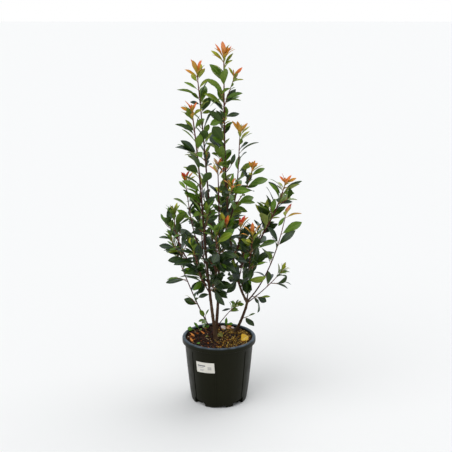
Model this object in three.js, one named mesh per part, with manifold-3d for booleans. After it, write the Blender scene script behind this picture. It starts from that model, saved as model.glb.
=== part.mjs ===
// Potted photinia shrub: a nursery pot filled with potting mix, five stems that rise out of it,
// the boughs that spring from them, and the leafy shoots that the boughs end in.
// Millimetres, +Z up. The origin is the middle of the pot's flat underside. The plant is seen
// along +Y, with +X to the right. A heading of 0 degrees is +X and of 90 degrees is +Y.

import * as THREE from 'three';
import { mergeVertices } from 'three/addons/utils/BufferGeometryUtils.js';
import Module from 'manifold-3d';

const wasm = await Module();
wasm.setup();

// Driving dimensions of the pot
const POT_HEIGHT = 253;
const RIM_RADIUS = 140;
const FOOT_RADIUS = 105;
const WALL = 3;
const WALL_BOW = 0.72;
const BODY_RINGS = [60, 140];
const BASE = 30;
const RIM_DEPTH = 20;
const RIM_OVERHANG = 9.5;
const RIM_CURL = 5.6;
const RIM_CROWN = 6.5;
const BEVEL = 2;
const POT_SEGMENTS = 36;
const FACES = [270, 90];
const GROOVE_TURN = 50;
const GROOVE_WIDTH = 6;
const GROOVE_DEPTH = 1.6;
const GROOVE_HEIGHTS = [22, 112, 205];
const ARCH = { width: 46, height: 7, depth: 14 };
const NOTCH_TURN = 42;
const NOTCH = { from: -23, to: 26, low: 15, high: 26, step: -8, crown: 4, depth: 40, back: 24 };
const SOIL_DROP = 11;

const rimFoot = POT_HEIGHT - RIM_DEPTH;
const bodyTop = RIM_RADIUS - RIM_OVERHANG;
const soilTop = POT_HEIGHT - SOIL_DROP;

// Driving dimensions of the wood
const CLEAR = 0.35;
const EASE = 0.3;
const LIMB_STEP = 44;
const LIMB_SIDES = 6;
const TAPER = 0.8;
const STEM_SIDES = 8;
const TWIG_SIDES = 3;
const FLARE = 1.7;
const FLARE_HEIGHT = 26;
const FLARE_KNEE = 0.35;
const FLARE_KNEE_WIDTH = 0.3;
const TWIG_THICK = 3.4;
const TWIG_THIN = 2.0;
const TWIG_LEAN = 51.5;
const TWIG_RISE = 0.55;
const TWIG_LENGTHS = [0.8, 1.2];
const TWIG_SHORTENS = 0.35;
const TWIG_FIRST = 0.35;
const TWIG_SPARE = 0.9;
const TWIG_TRIES = 5;
const TWIG_TRY_TURN = 61;

// Driving dimensions of the leaves, with the spread of each as its least and its most
const LEAF_SLENDER = 0.37;
const LEAF_THICK = 0.028;
const LEAF_LEAST = 0.9;
const LEAF_SET_BACK = 5;
const LEAF_FOLD = 0.3;
const LEAF_MIDDLE = 0.54;
const LEAF_SHOULDER = 0.18;
const LEAF_SKYWARD = 0.6;
const LEAF_SIZES = [0.82, 1.1];
const LEAF_SPACINGS = [0.85, 1.15];
const LEAF_WANDERS = [-14, 14];
const LEAF_ANGLES = [32, 58];
const LEAF_DROOPS = [8, 42];
const LEAF_ROLLS = [18, 60];
const LEAF_STOP = 0.7;
const LEAF_TRIES = 4;
const LEAF_TRY_TURN = 47;
const LEAF_TRY_SHORTER = 0.14;
const LEAF_TRY_STEEPER = 0.12;
const TIP_SIZE = 0.7;
const TIP_GROWTH = 1.5;
const TWIG_LEAF = 0.9;
const TWIG_LEAF_GAP = 28;
const TWIG_YOUNG = 1;
const YOUNG_SIZES = [0.54, 0.66];
const YOUNG_SHRINK = 0.25;
const YOUNG_ANGLES = [30, 46];
const YOUNG_CLOSES = 0.75;
const YOUNG_DROOP = 16;
const YOUNG_STEP = 2.5;
const YOUNG_END = 1;
const GOLDEN_TURN = 137.5;
const AFTER_LIMB = 14;
const AFTER_FORK = 20;
const LIMB_MARGIN = 3;
const SPACE_MARGIN = 0.8;

// Every shoot of the plant, from the soil up. A shoot springs from the soil at a foot, or from
// another shoot at a height. It leaves and ends with a lean from upright and a heading, both in
// degrees. Its lower part, the bare share, is a limb, and the rest is a leafy shoot with leaves of
// one size at one spacing, side twigs of one length and a rosette of young leaves at its tip.
const SHOOTS = [
  { name: 'left_stem', foot: [-11, -14], tip: [-93, -28, 1102], leave: [8, 172], end: [7, 180],
    ease: 0.45, thick: 14.5, thin: 4.2, bare: 0.5, leaf: 83, gap: 40, twigs: 1, twig: 60, young: 4 },
  { name: 'centre_stem', foot: [-14, 28], tip: [-4, 96, 880], leave: [6, 10], end: [2, 180], thick: 13,
    thin: 3.6, bare: 0.44, leaf: 81, gap: 38, twigs: 3, twig: 75, young: 4 },
  { name: 'right_stem', foot: [65, 65], tip: [110, 42, 380], leave: [25, 333], end: [9, 0], thick: 12,
    thin: 9.5, bare: 1 },
  { name: 'outer_stem', foot: [-34, 92], tip: [-178, 100, 592], leave: [28, 190], end: [18, 180],
    thick: 6.6, thin: 3, bare: 0.66, leaf: 70, gap: 36, twigs: 1, twig: 50, young: 3 },
  { name: 'low_stem', foot: [-24, 50], tip: [68, 60, 354], leave: [31, 5], end: [49, 0], thick: 4.4,
    thin: 2.6, bare: 0.6, leaf: 51, gap: 26, twigs: 0, twig: 0, young: 4 },

  { name: 'leader', from: 'right_stem', at: 372, tip: [19, -10, 1304], leave: [32, 182], end: [1, 180],
    ease: 0.2, thick: 9.4, thin: 4.2, bare: 0.46, leaf: 87, gap: 42, twigs: 2, twig: 60, young: 5 },
  { name: 'tall_left', from: 'centre_stem', at: 392, tip: [-78, 28, 1250], leave: [6, 190], end: [6, 180],
    thick: 9, thin: 3.6, bare: 0.52, leaf: 79, gap: 40, twigs: 1, twig: 60, young: 4 },
  { name: 'upper_right', from: 'leader', at: 690, tip: [78, 30, 1022], leave: [30, 40], end: [4, 0],
    thick: 6, thin: 3.2, bare: 0.2, leaf: 81, gap: 42, twigs: 1, twig: 60, young: 4 },
  { name: 'outer_right', from: 'leader', at: 498, tip: [243, 0, 843], leave: [42, 350], end: [14, 0],
    thick: 7.6, thin: 3.4, bare: 0.48, leaf: 83, gap: 30, twigs: 3, twig: 70, young: 4 },
  { name: 'back_right', from: 'right_stem', at: 360, tip: [186, 115, 728], leave: [26, 75], end: [16, 10],
    thick: 5.6, thin: 2.8, bare: 0.36, leaf: 72, gap: 36, twigs: 2, twig: 65, young: 3 },
  { name: 'front_right', from: 'right_stem', at: 376, tip: [247, -12, 733], leave: [42, 342],
    end: [10, 0], thick: 6, thin: 2.8, bare: 0.42, leaf: 87, gap: 54, twigs: 0, twig: 0, young: 4 },
  { name: 'low_right', from: 'right_stem', at: 368, tip: [243, 96, 480], leave: [62, 22], end: [42, 20],
    thick: 4.8, thin: 2.6, bare: 0.4, leaf: 65, gap: 38, twigs: 1, twig: 45, young: 4 },
  { name: 'outer_left', from: 'left_stem', at: 470, tip: [-160, -45, 738], leave: [56, 195], end: [6, 0],
    thick: 7, thin: 3.2, bare: 0.38, leaf: 81, gap: 25, twigs: 3, twig: 60, young: 4 },
  { name: 'inner_left', from: 'left_stem', at: 538, tip: [-122, 60, 843], leave: [46, 135], end: [3, 180],
    thick: 5.6, thin: 2.8, bare: 0.3, leaf: 72, gap: 36, twigs: 1, twig: 60, young: 3 },
  { name: 'back_tall', from: 'leader', at: 785, tip: [10, 62, 1054], leave: [38, 100], end: [2, 0],
    thick: 4.8, thin: 2.8, bare: 0.25, leaf: 76, gap: 38, twigs: 1, twig: 50, young: 4 },

  { name: 'near_left', from: 'left_stem', at: 425, tip: [-88, -150, 640], leave: [48, 250],
    end: [12, 240], thick: 5.4, thin: 2.6, bare: 0.2, leaf: 79, gap: 33, twigs: 2, twig: 70, young: 4 },
  { name: 'near_centre', from: 'centre_stem', at: 440, tip: [-8, -160, 700], leave: [44, 275],
    end: [8, 270], thick: 5.4, thin: 2.6, bare: 0.2, leaf: 81, gap: 33, twigs: 3, twig: 70, young: 4 },
  { name: 'near_right', from: 'leader', at: 432, tip: [122, -112, 684], leave: [46, 300], end: [8, 300],
    thick: 5, thin: 2.6, bare: 0.2, leaf: 79, gap: 33, twigs: 3, twig: 70, young: 4 },
  { name: 'far_left', from: 'left_stem', at: 440, tip: [-78, 165, 740], leave: [46, 110], end: [8, 120],
    thick: 5.2, thin: 2.6, bare: 0.2, leaf: 81, gap: 35, twigs: 3, twig: 70, young: 4 },
  { name: 'far_centre', from: 'centre_stem', at: 490, tip: [36, 178, 790], leave: [44, 70], end: [6, 80],
    thick: 5, thin: 2.6, bare: 0.2, leaf: 81, gap: 35, twigs: 3, twig: 70, young: 4 },
  { name: 'far_right', from: 'leader', at: 455, tip: [104, 168, 610], leave: [48, 75], end: [8, 70],
    thick: 5, thin: 2.6, bare: 0.2, leaf: 81, gap: 35, twigs: 3, twig: 70, young: 4 },

  { name: 'right_tip', from: 'upper_right', at: 748, tip: [121, -4, 896], leave: [42, 350], end: [8, 0],
    thick: 3.8, thin: 2.4, bare: 0, leaf: 74, gap: 36, twigs: 0, twig: 0, young: 4 },
  { name: 'top_side', from: 'leader', at: 1122, tip: [55, 3, 1226], leave: [16, 20], end: [16, 10],
    thick: 3.2, thin: 2.4, bare: 0, leaf: 59, gap: 45, twigs: 0, twig: 0, young: 4 },
  { name: 'inner_front', from: 'leader', at: 560, tip: [80, -66, 700], leave: [50, 300], end: [8, 300],
    thick: 3.6, thin: 2.4, bare: 0, leaf: 74, gap: 33, twigs: 1, twig: 50, young: 3 },
  { name: 'middle_front', from: 'leader', at: 640, tip: [26, -72, 712], leave: [56, 262], end: [4, 262],
    thick: 3.4, thin: 2.4, bare: 0, leaf: 68, gap: 33, twigs: 0, twig: 0, young: 3 },
  { name: 'left_front', from: 'left_stem', at: 640, tip: [-40, -100, 750], leave: [46, 255],
    end: [6, 250], thick: 3.8, thin: 2.4, bare: 0, leaf: 76, gap: 36, twigs: 1, twig: 55, young: 3 },
  { name: 'tall_back', from: 'tall_left', at: 690, tip: [-66, 112, 830], leave: [46, 115], end: [6, 110],
    thick: 3.8, thin: 2.4, bare: 0, leaf: 76, gap: 36, twigs: 1, twig: 55, young: 3 },
  { name: 'tall_inner', from: 'tall_left', at: 880, tip: [-44, 0, 950], leave: [50, 255], end: [6, 255],
    thick: 3, thin: 2.2, bare: 0, leaf: 57, gap: 36, twigs: 0, twig: 0, young: 3 },
  { name: 'leader_front', from: 'leader', at: 780, tip: [50, -62, 850], leave: [54, 290], end: [8, 290],
    thick: 3, thin: 2.2, bare: 0, leaf: 65, gap: 33, twigs: 0, twig: 0, young: 3 },
  { name: 'outer_bunch', from: 'outer_left', at: 560, tip: [-172, -96, 668], leave: [58, 235],
    end: [14, 215], thick: 3.2, thin: 2.2, bare: 0, leaf: 66, gap: 34, twigs: 0, twig: 0, young: 3 },
  { name: 'heart_front', from: 'left_stem', at: 430, tip: [-2, -78, 556], leave: [58, 290],
    end: [20, 300], thick: 3.6, thin: 2.4, bare: 0, leaf: 81, gap: 30, twigs: 1, twig: 60, young: 2 },
  { name: 'heart_right', from: 'leader', at: 450, tip: [52, -48, 545], leave: [66, 240], end: [24, 240],
    thick: 3.4, thin: 2.4, bare: 0, leaf: 79, gap: 30, twigs: 1, twig: 50, young: 2 },
  { name: 'heart_back', from: 'centre_stem', at: 418, tip: [-46, 92, 520], leave: [62, 140], end: [34, 140],
    thick: 3.4, thin: 2.4, bare: 0, leaf: 79, gap: 30, twigs: 1, twig: 50, young: 2 },
  { name: 'foot_left', from: 'outer_stem', at: 268, tip: [-54, 70, 306], leave: [38, 250], end: [10, 250],
    thick: 2.8, thin: 2.2, bare: 0, leaf: 57, gap: 23, twigs: 0, twig: 0, young: 2 },
  { name: 'foot_right', from: 'right_stem', at: 300, tip: [112, 30, 318], leave: [66, 320],
    end: [70, 320], thick: 2.8, thin: 2.2, bare: 0, leaf: 59, gap: 24, twigs: 0, twig: 0, young: 2 },
  { name: 'fork_side', from: 'front_right', at: 396, tip: [158, 10, 402], leave: [76, 315],
    end: [82, 330], thick: 2.8, thin: 2.2, bare: 0, leaf: 63, gap: 23, twigs: 0, twig: 0, young: 2 },
  { name: 'outer_low', from: 'outer_stem', at: 345, tip: [-114, 60, 385], leave: [60, 230],
    end: [50, 220], thick: 2.8, thin: 2.2, bare: 0, leaf: 70, gap: 25, twigs: 0, twig: 0, young: 2 },
  { name: 'outer_droop', from: 'outer_stem', at: 438, tip: [-154, 62, 462], leave: [68, 235],
    end: [74, 215], thick: 2.8, thin: 2.2, bare: 0, leaf: 83, gap: 25, twigs: 0, twig: 0, young: 2 },
];

// Small tools for vectors, chance and solids

function vector(values) {
  return new THREE.Vector3(...values);
}

function radians(degrees) {
  return degrees * Math.PI / 180;
}

function direction([lean, heading]) {
  const out = Math.sin(radians(lean));
  const up = Math.cos(radians(lean));
  return vector([out * Math.cos(radians(heading)), out * Math.sin(radians(heading)), up]);
}

// A repeatable row of numbers between 0 and 1
function chance(seed) {
  let state = seed * 7919 + 17;
  return () => {
    state = (state * 16807) % 2147483647;
    return state / 2147483647;
  };
}

function between(draw, [least, most]) {
  return least + (most - least) * draw();
}

function toSolid(geometry) {
  const bare = geometry.clone();
  bare.deleteAttribute('normal');
  bare.deleteAttribute('uv');
  const merged = mergeVertices(bare, 1e-4);
  const vertProperties = new Float32Array(merged.attributes.position.array);
  const triVerts = new Uint32Array(merged.index.array);
  return new wasm.Manifold(new wasm.Mesh({ numProp: 3, vertProperties, triVerts }));
}

function toGeometry(solid) {
  const mesh = solid.getMesh();
  const geometry = new THREE.BufferGeometry();
  geometry.setAttribute('position', new THREE.BufferAttribute(new Float32Array(mesh.vertProperties), 3));
  geometry.setIndex(new THREE.BufferAttribute(new Uint32Array(mesh.triVerts), 1));
  return geometry;
}

function fromPoints(points, faces) {
  const geometry = new THREE.BufferGeometry();
  geometry.setAttribute('position', new THREE.Float32BufferAttribute(points.flatMap((p) => p.toArray()), 3));
  geometry.setIndex(faces.flat());
  return toSolid(geometry);
}

function joined(solids) {
  return solids.reduce((whole, piece) => whole.add(piece));
}

// The pot and its filling

function lathe(profile, segments) {
  const points = profile.map(([radius, height]) => new THREE.Vector2(radius, height));
  const geometry = new THREE.LatheGeometry(points, segments);
  geometry.rotateX(Math.PI / 2);
  return toSolid(geometry);
}

function wallRadius(height) {
  return FOOT_RADIUS + (bodyTop - FOOT_RADIUS) * Math.min(height / rimFoot, 1) ** WALL_BOW;
}

function onWall(heights, inset) {
  return heights.map((height) => [wallRadius(height) - inset, height]);
}

// The hollow shell, a thick base and a slightly bowed, flared wall under a deep rim that is
// rolled over outwards
function shell() {
  return lathe([
    [0, 0],
    [FOOT_RADIUS - BEVEL, 0],
    ...onWall([BEVEL, ...BODY_RINGS, rimFoot], 0),
    [RIM_RADIUS - BEVEL, rimFoot + BEVEL / 2],
    [RIM_RADIUS, rimFoot + RIM_CURL],
    [RIM_RADIUS, POT_HEIGHT - RIM_CURL],
    [RIM_RADIUS - BEVEL, POT_HEIGHT - BEVEL],
    [RIM_RADIUS - RIM_CROWN, POT_HEIGHT],
    [bodyTop - BEVEL / 2, POT_HEIGHT - BEVEL],
    [bodyTop - WALL, POT_HEIGHT - RIM_CURL],
    ...onWall([BASE, ...BODY_RINGS, rimFoot], WALL).reverse(),
    [0, BASE],
  ], POT_SEGMENTS);
}

// A block that stands across the wall at its foot, at one heading
function footBlock(heading, { width, height, depth }) {
  const block = new THREE.BoxGeometry(depth, width, 2 * height);
  block.translate(FOOT_RADIUS, 0, 0);
  block.rotateZ(radians(heading));
  return toSolid(block);
}

// A notch between a middle foot and an outer foot. It is low beside the middle foot and then
// rises to a drain pocket, whose far corner is cut off
function notch(heading, side) {
  const { from, to, low, high, step, crown } = NOTCH;
  const corner = high - low;
  const outline = new THREE.Shape([
    new THREE.Vector2(side * from, -1),
    new THREE.Vector2(side * to, -1),
    new THREE.Vector2(side * to, high - corner / 2),
    new THREE.Vector2(side * (to - corner / 2), high),
    new THREE.Vector2(side * crown, high),
    new THREE.Vector2(side * step, low),
    new THREE.Vector2(side * from, low),
  ]);
  const block = new THREE.ExtrudeGeometry(outline, { depth: NOTCH.depth, bevelEnabled: false });
  block.rotateX(Math.PI / 2);
  block.rotateZ(Math.PI / 2);
  block.translate(FOOT_RADIUS - NOTCH.back, 0, 0);
  block.rotateZ(radians(heading));
  return toSolid(block);
}

// A groove follows the wall from one height to another
function groove(heading, low, high) {
  const lean = Math.atan2(wallRadius(high) - wallRadius(low), high - low);
  const block = new THREE.BoxGeometry(GROOVE_DEPTH * 2, GROOVE_WIDTH, (high - low) / Math.cos(lean));
  block.rotateY(lean);
  block.translate((wallRadius(low) + wallRadius(high)) / 2, 0, (low + high) / 2);
  block.rotateZ(radians(heading));
  return toSolid(block);
}

// Front and back alike: a groove down the middle and one at each side, a low arch between two
// middle feet, and a notch beside each of them
function pot() {
  const [low, knee, high] = GROOVE_HEIGHTS;
  const cutters = [];
  for (const face of FACES) {
    cutters.push(footBlock(face, ARCH));
    for (const side of [-1, 1]) {
      cutters.push(notch(face + side * NOTCH_TURN, side));
    }
    for (const side of [-1, 0, 1]) {
      cutters.push(groove(face + side * GROOVE_TURN, low, knee));
      cutters.push(groove(face + side * GROOVE_TURN, knee, high));
    }
  }
  return cutters.reduce((body, cutter) => body.subtract(cutter), shell());
}

// The potting mix fills the shell and is clear of it all round
function soil() {
  const low = BASE + CLEAR;
  return lathe([
    [0, low],
    ...onWall([low, ...BODY_RINGS, rimFoot, soilTop], WALL + 2 * CLEAR),
    [0, soilTop],
  ], POT_SEGMENTS);
}

// The course of a shoot, as evenly spaced points with the direction at each

function course(start, tip, leave, end, ease) {
  const handle = start.distanceTo(tip) * ease;
  const curve = new THREE.CubicBezierCurve3(
    start,
    start.clone().addScaledVector(direction(leave), handle),
    tip.clone().addScaledVector(direction(end), -handle),
    tip,
  );
  const steps = Math.max(3, Math.round(curve.getLength() / LIMB_STEP));
  const points = curve.getSpacedPoints(steps);
  return { points, ways: alongPoints(points) };
}

function alongPoints(points) {
  return points.map((point, i) => {
    const before = points[Math.max(i - 1, 0)];
    const after = points[Math.min(i + 1, points.length - 1)];
    return after.clone().sub(before).normalize();
  });
}

function pointAtHeight(points, height) {
  const i = points.findIndex((point) => point.z >= height);
  const low = points[i - 1];
  return low.clone().lerp(points[i], (height - low.z) / (points[i].z - low.z));
}

// A tapering limb of rings round its course, each ring square to it
function limb(points, ways, radii, sides) {
  const corners = [];
  let side = vector([0, 1, 0]);
  points.forEach((point, i) => {
    side = side.clone().addScaledVector(ways[i], -side.dot(ways[i])).normalize();
    const cross = ways[i].clone().cross(side);
    for (let j = 0; j < sides; j += 1) {
      const turn = 2 * Math.PI * j / sides;
      corners.push(point.clone()
        .addScaledVector(side, radii[i] * Math.cos(turn))
        .addScaledVector(cross, radii[i] * Math.sin(turn)));
    }
  });
  const faces = [];
  for (let i = 0; i + 1 < points.length; i += 1) {
    for (let j = 0; j < sides; j += 1) {
      const a = i * sides + j;
      const b = i * sides + (j + 1) % sides;
      faces.push([a, b, b + sides], [a, b + sides, a + sides]);
    }
  }
  const last = (points.length - 1) * sides;
  for (let j = 1; j + 1 < sides; j += 1) {
    faces.push([0, j + 1, j], [last, last + j, last + j + 1]);
  }
  return fromPoints(corners, faces);
}

// Each shoot gets its course, its thickness along it, and the place where its leaves begin
function layOut(shoots) {
  const laid = new Map();
  shoots.forEach((shoot, index) => {
    const parent = shoot.from ? laid.get(shoot.from) : null;
    const start = parent ? pointAtHeight(parent.points, shoot.at) : vector([...shoot.foot, soilTop + CLEAR]);
    const path = course(start, vector(shoot.tip), shoot.leave, shoot.end, shoot.ease ?? EASE);
    const last = path.points.length - 1;
    const radii = path.points.map((point, i) => {
      return (shoot.thick + (shoot.thin - shoot.thick) * (i / last) ** TAPER) / 2;
    });
    laid.set(shoot.name, { ...shoot, ...path, radii, seed: index + 1, leafy: Math.round(shoot.bare * last) });
  });
  return laid;
}

// The foot of a stem widens to the soil and is cut flat there
function footed(shoot) {
  const foot = shoot.points[0];
  const next = shoot.points[1];
  const rise = next.clone().sub(foot).multiplyScalar(FLARE_HEIGHT / (next.z - foot.z));
  const knee = foot.clone().addScaledVector(rise, FLARE_KNEE);
  const thick = shoot.radii[0];
  const kneeThick = thick * (1 + (FLARE - 1) * FLARE_KNEE_WIDTH);
  const points = [foot, knee, foot.clone().add(rise), ...shoot.points.slice(1)];
  const ways = [vector([0, 0, 1]), shoot.ways[0], shoot.ways[0], ...shoot.ways.slice(1)];
  const radii = [thick * FLARE, kneeThick, thick, ...shoot.radii.slice(1)];
  return { points, ways, radii };
}

function limbSolid(shoot, swell) {
  const shape = shoot.from ? shoot : footed(shoot);
  const extra = shape.points.length - shoot.points.length;
  const end = shoot.leafy + extra + 1;
  const radii = shape.radii.slice(0, end).map((radius) => radius + swell);
  const sides = shoot.from ? LIMB_SIDES : STEM_SIDES;
  return limb(shape.points.slice(0, end), shape.ways.slice(0, end), radii, sides);
}

// The bare stem of a leafy shoot, which starts clear of the limb that it grows on from
function leafyStem(shoot, swell) {
  const points = shoot.points.slice(shoot.leafy);
  const ways = shoot.ways.slice(shoot.leafy);
  if (hasLimb(shoot)) points[0] = points[0].clone().addScaledVector(ways[0], CLEAR);
  const radii = shoot.radii.slice(shoot.leafy).map((radius) => radius + swell);
  return { points, solid: limb(points, ways, radii, TWIG_SIDES) };
}

function hasLimb(shoot) {
  return shoot.leafy > 0;
}

function hasLeaves(shoot) {
  return shoot.leafy < shoot.points.length - 1;
}

function woodOf(shoot, swell) {
  const limbs = hasLimb(shoot) ? [limbSolid(shoot, swell)] : [];
  const stems = hasLeaves(shoot) ? [leafyStem(shoot, swell).solid] : [];
  return [...limbs, ...stems];
}

// How far a point lies from a course
function distanceTo(point, points) {
  const line = new THREE.Line3();
  const near = new THREE.Vector3();
  let least = Infinity;
  for (let i = 0; i + 1 < points.length; i += 1) {
    line.set(points[i], points[i + 1]).closestPointToPoint(point, true, near);
    least = Math.min(least, near.distanceTo(point));
  }
  return least;
}

// A leaf is a thin blade of twelve faces: its root lies inside the twig, its outline runs out over
// two pairs of shoulders to the tip, and its two sides meet at the middle of the midrib. It folds
// up from the midrib, bends over there, and is rolled about its length.
function leafPoints(root, axisPoint, way, out, size, angle, droop, roll) {
  const along = way.clone().multiplyScalar(Math.cos(angle)).addScaledVector(out, Math.sin(angle));
  const sky = way.clone().add(vector([0, 0, LEAF_SKYWARD]));
  const up = sky.addScaledVector(along, -sky.dot(along)).normalize().applyAxisAngle(along, roll);
  const across = up.clone().cross(along);
  const bent = along.clone().multiplyScalar(Math.cos(droop)).addScaledVector(up, -Math.sin(droop));
  const half = size * LEAF_SLENDER / 2;
  const thick = Math.max(size * LEAF_THICK, LEAF_LEAST) / 2;
  const middle = axisPoint.clone().addScaledVector(along, size * LEAF_MIDDLE);
  const tip = middle.clone().addScaledVector(bent, size * (1 - LEAF_MIDDLE));
  const shoulder = (line, share, side) => middle.clone()
    .addScaledVector(line, size * share)
    .addScaledVector(across, side * half)
    .addScaledVector(up, half * LEAF_FOLD);
  return [
    root,
    shoulder(along, -LEAF_SHOULDER, -1),
    shoulder(bent, LEAF_SHOULDER, -1),
    tip,
    shoulder(bent, LEAF_SHOULDER, 1),
    shoulder(along, -LEAF_SHOULDER, 1),
    middle.clone().addScaledVector(up, thick),
    middle.clone().addScaledVector(up, -thick),
  ];
}

// The outline's six edges, each closed to the top and to the underside of the midrib
const LEAF_FACES = [0, 1, 2, 3, 4, 5].flatMap((i) => [[i, (i + 1) % 6, 6], [(i + 1) % 6, i, 7]]);

function keepsItsSpace(points, shoot, shoots) {
  return points.every((point) => {
    if (point.z < soilTop + LIMB_MARGIN) return false;
    const own = distanceTo(point, shoot.points.slice(shoot.leafy));
    return shoots.every((other) => {
      if (hasLimb(other)) {
        const wood = distanceTo(point, other.points.slice(0, other.leafy + 1));
        if (wood < other.radii[0] + LIMB_MARGIN) return false;
      }
      if (other === shoot || !hasLeaves(other)) return true;
      return distanceTo(point, other.points.slice(other.leafy)) > own + SPACE_MARGIN;
    });
  });
}

// A place along a course, with the direction there and a heading square to it
function placeAlong(points, distance) {
  let left = distance;
  for (let i = 0; i + 1 < points.length; i += 1) {
    const step = points[i].distanceTo(points[i + 1]);
    if (left <= step || i + 2 === points.length) {
      const way = points[i + 1].clone().sub(points[i]).normalize();
      return { point: points[i].clone().addScaledVector(way, Math.min(left, step)), way };
    }
    left -= step;
  }
  return null;
}

function outward(way, turn) {
  const side = vector([0, 1, 0]);
  side.addScaledVector(way, -side.dot(way)).normalize();
  const cross = way.clone().cross(side);
  return side.multiplyScalar(Math.cos(radians(turn))).addScaledVector(cross, Math.sin(radians(turn)));
}

function lengthOf(points) {
  return points.slice(1).reduce((sum, point, i) => sum + point.distanceTo(points[i]), 0);
}

// Leaves climb the axis in a spiral, are smaller towards its tip, and end in a young rosette.
// One that would leave the space tries a shorter and steeper place, then is left out.
function leavesAlong(points, from, size, gap, young, draw, fits) {
  const leaves = [];
  const whole = lengthOf(points);
  let turn = 360 * draw();
  for (let at = from; at < whole - gap * LEAF_STOP; at += gap * between(draw, LEAF_SPACINGS)) {
    turn += GOLDEN_TURN + between(draw, LEAF_WANDERS);
    const age = 1 - at / whole;
    const grown = size * Math.min(1, TIP_SIZE + TIP_GROWTH * age) * between(draw, LEAF_SIZES);
    const angle = radians(between(draw, LEAF_ANGLES));
    const droop = radians(between(draw, LEAF_DROOPS));
    const roll = radians(between(draw, LEAF_ROLLS)) * (draw() < 0.5 ? -1 : 1);
    const { point, way } = placeAlong(points, at);
    const root = placeAlong(points, at - LEAF_SET_BACK).point;
    for (let attempt = 0; attempt < LEAF_TRIES; attempt += 1) {
      const out = outward(way, turn + attempt * LEAF_TRY_TURN);
      const shorter = grown * (1 - LEAF_TRY_SHORTER * attempt);
      const steeper = angle * (1 - LEAF_TRY_STEEPER * attempt);
      const leaf = leafPoints(root, point, way, out, shorter, steeper, droop, roll);
      if (fits(leaf)) {
        leaves.push(leaf);
        break;
      }
    }
  }
  for (let i = 0; i < young; i += 1) {
    const at = whole - YOUNG_END - YOUNG_STEP * (young - 1 - i);
    const { point, way } = placeAlong(points, at);
    const root = placeAlong(points, at - LEAF_SET_BACK).point;
    const inner = i / Math.max(young - 1, 1);
    const angle = radians(between(draw, YOUNG_ANGLES) * (1 - inner * YOUNG_CLOSES));
    const grown = size * between(draw, YOUNG_SIZES) * (1 - YOUNG_SHRINK * inner);
    const out = outward(way, turn + (i + 1) * GOLDEN_TURN);
    const leaf = leafPoints(root, point, way, out, grown, angle, radians(YOUNG_DROOP), 0);
    if (fits(leaf)) leaves.push(leaf);
  }
  return leaves;
}

// A side twig leaves its shoot at an angle and turns up halfway
function twigPoints(point, way, out, length) {
  const first = way.clone().multiplyScalar(Math.cos(radians(TWIG_LEAN)))
    .addScaledVector(out, Math.sin(radians(TWIG_LEAN)));
  const second = first.clone().add(vector([0, 0, TWIG_RISE])).normalize();
  const knee = point.clone().addScaledVector(first, length / 2);
  return [point, knee, knee.clone().addScaledVector(second, length / 2)];
}

function twigSolid(points) {
  const radii = [TWIG_THICK / 2, (TWIG_THICK + TWIG_THIN) / 4, TWIG_THIN / 2];
  return limb(points, alongPoints(points), radii, TWIG_SIDES);
}

function leafyShoot(shoot, shoots) {
  const draw = chance(shoot.seed);
  const { points, solid } = leafyStem(shoot, 0);
  const fits = (leaf) => keepsItsSpace(leaf.slice(1), shoot, shoots);
  const whole = lengthOf(points);
  const first = hasLimb(shoot) ? AFTER_LIMB : AFTER_FORK;

  const pieces = [solid];
  const leaves = leavesAlong(points, first, shoot.leaf, shoot.gap, shoot.young, draw, fits);
  let turn = 360 * draw();
  for (let i = 0; i < shoot.twigs; i += 1) {
    const at = first + (whole - first) * (i + TWIG_FIRST) / (shoot.twigs + TWIG_SPARE);
    turn += GOLDEN_TURN;
    const { point, way } = placeAlong(points, at);
    const length = shoot.twig * between(draw, TWIG_LENGTHS) * (1 - TWIG_SHORTENS * at / whole);
    for (let attempt = 0; attempt < TWIG_TRIES; attempt += 1) {
      const twig = twigPoints(point, way, outward(way, turn + attempt * TWIG_TRY_TURN), length);
      if (keepsItsSpace(twig.slice(1), shoot, shoots)) {
        const size = shoot.leaf * TWIG_LEAF;
        pieces.push(twigSolid(twig));
        leaves.push(...leavesAlong(twig, AFTER_FORK, size, TWIG_LEAF_GAP, TWIG_YOUNG, draw, fits));
        break;
      }
    }
  }
  leaves.forEach((leaf) => pieces.push(fromPoints(leaf, LEAF_FACES)));
  return joined(pieces);
}

// Colours and finishes

function material(colour, roughness) {
  return new THREE.MeshStandardMaterial({ color: colour, roughness, metalness: 0 });
}

const FINISHES = {
  pot: ['#20211d', 0.5],
  soil: ['#4a3524', 0.95],
  wood: ['#553733', 0.7],
  leaf: ['#3c5428', 0.4],
};

const plant = new THREE.Group();
plant.name = 'potted_photinia';

function place(name, solid, finish) {
  const mesh = new THREE.Mesh(toGeometry(solid), material(...FINISHES[finish]));
  mesh.name = name;
  plant.add(mesh);
}

place('pot', pot(), 'pot');
place('soil', soil(), 'soil');

const laid = layOut(SHOOTS);
const shoots = [...laid.values()];
const grown = [];

// Each limb is cut clear of the limbs that were there before it
for (const shoot of shoots.filter(hasLimb)) {
  const solid = grown.reduce((rest, older) => rest.subtract(older), limbSolid(shoot, 0));
  grown.push(limbSolid(shoot, CLEAR));
  place(`limb_${shoot.name}`, solid, 'wood');
}

// A leafy shoot with no limb of its own is cut clear of the limb and the stem that it springs from
for (const shoot of shoots.filter(hasLeaves)) {
  const solid = leafyShoot(shoot, shoots);
  const cutters = hasLimb(shoot) ? [] : woodOf(laid.get(shoot.from), CLEAR);
  place(`foliage_${shoot.name}`, cutters.reduce((rest, cutter) => rest.subtract(cutter), solid), 'leaf');
}

export default plant;
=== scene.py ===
# Potted photinia shrub: the looks of the plant, of its nursery pot and of the potting mix.
# Metres in the scene. The plant's growth is worked out in millimetres, by the same rule as the
# solids, and made metres as its meshes are built. +Z is up, and the plant is seen along +Y.

import math
import random

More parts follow.
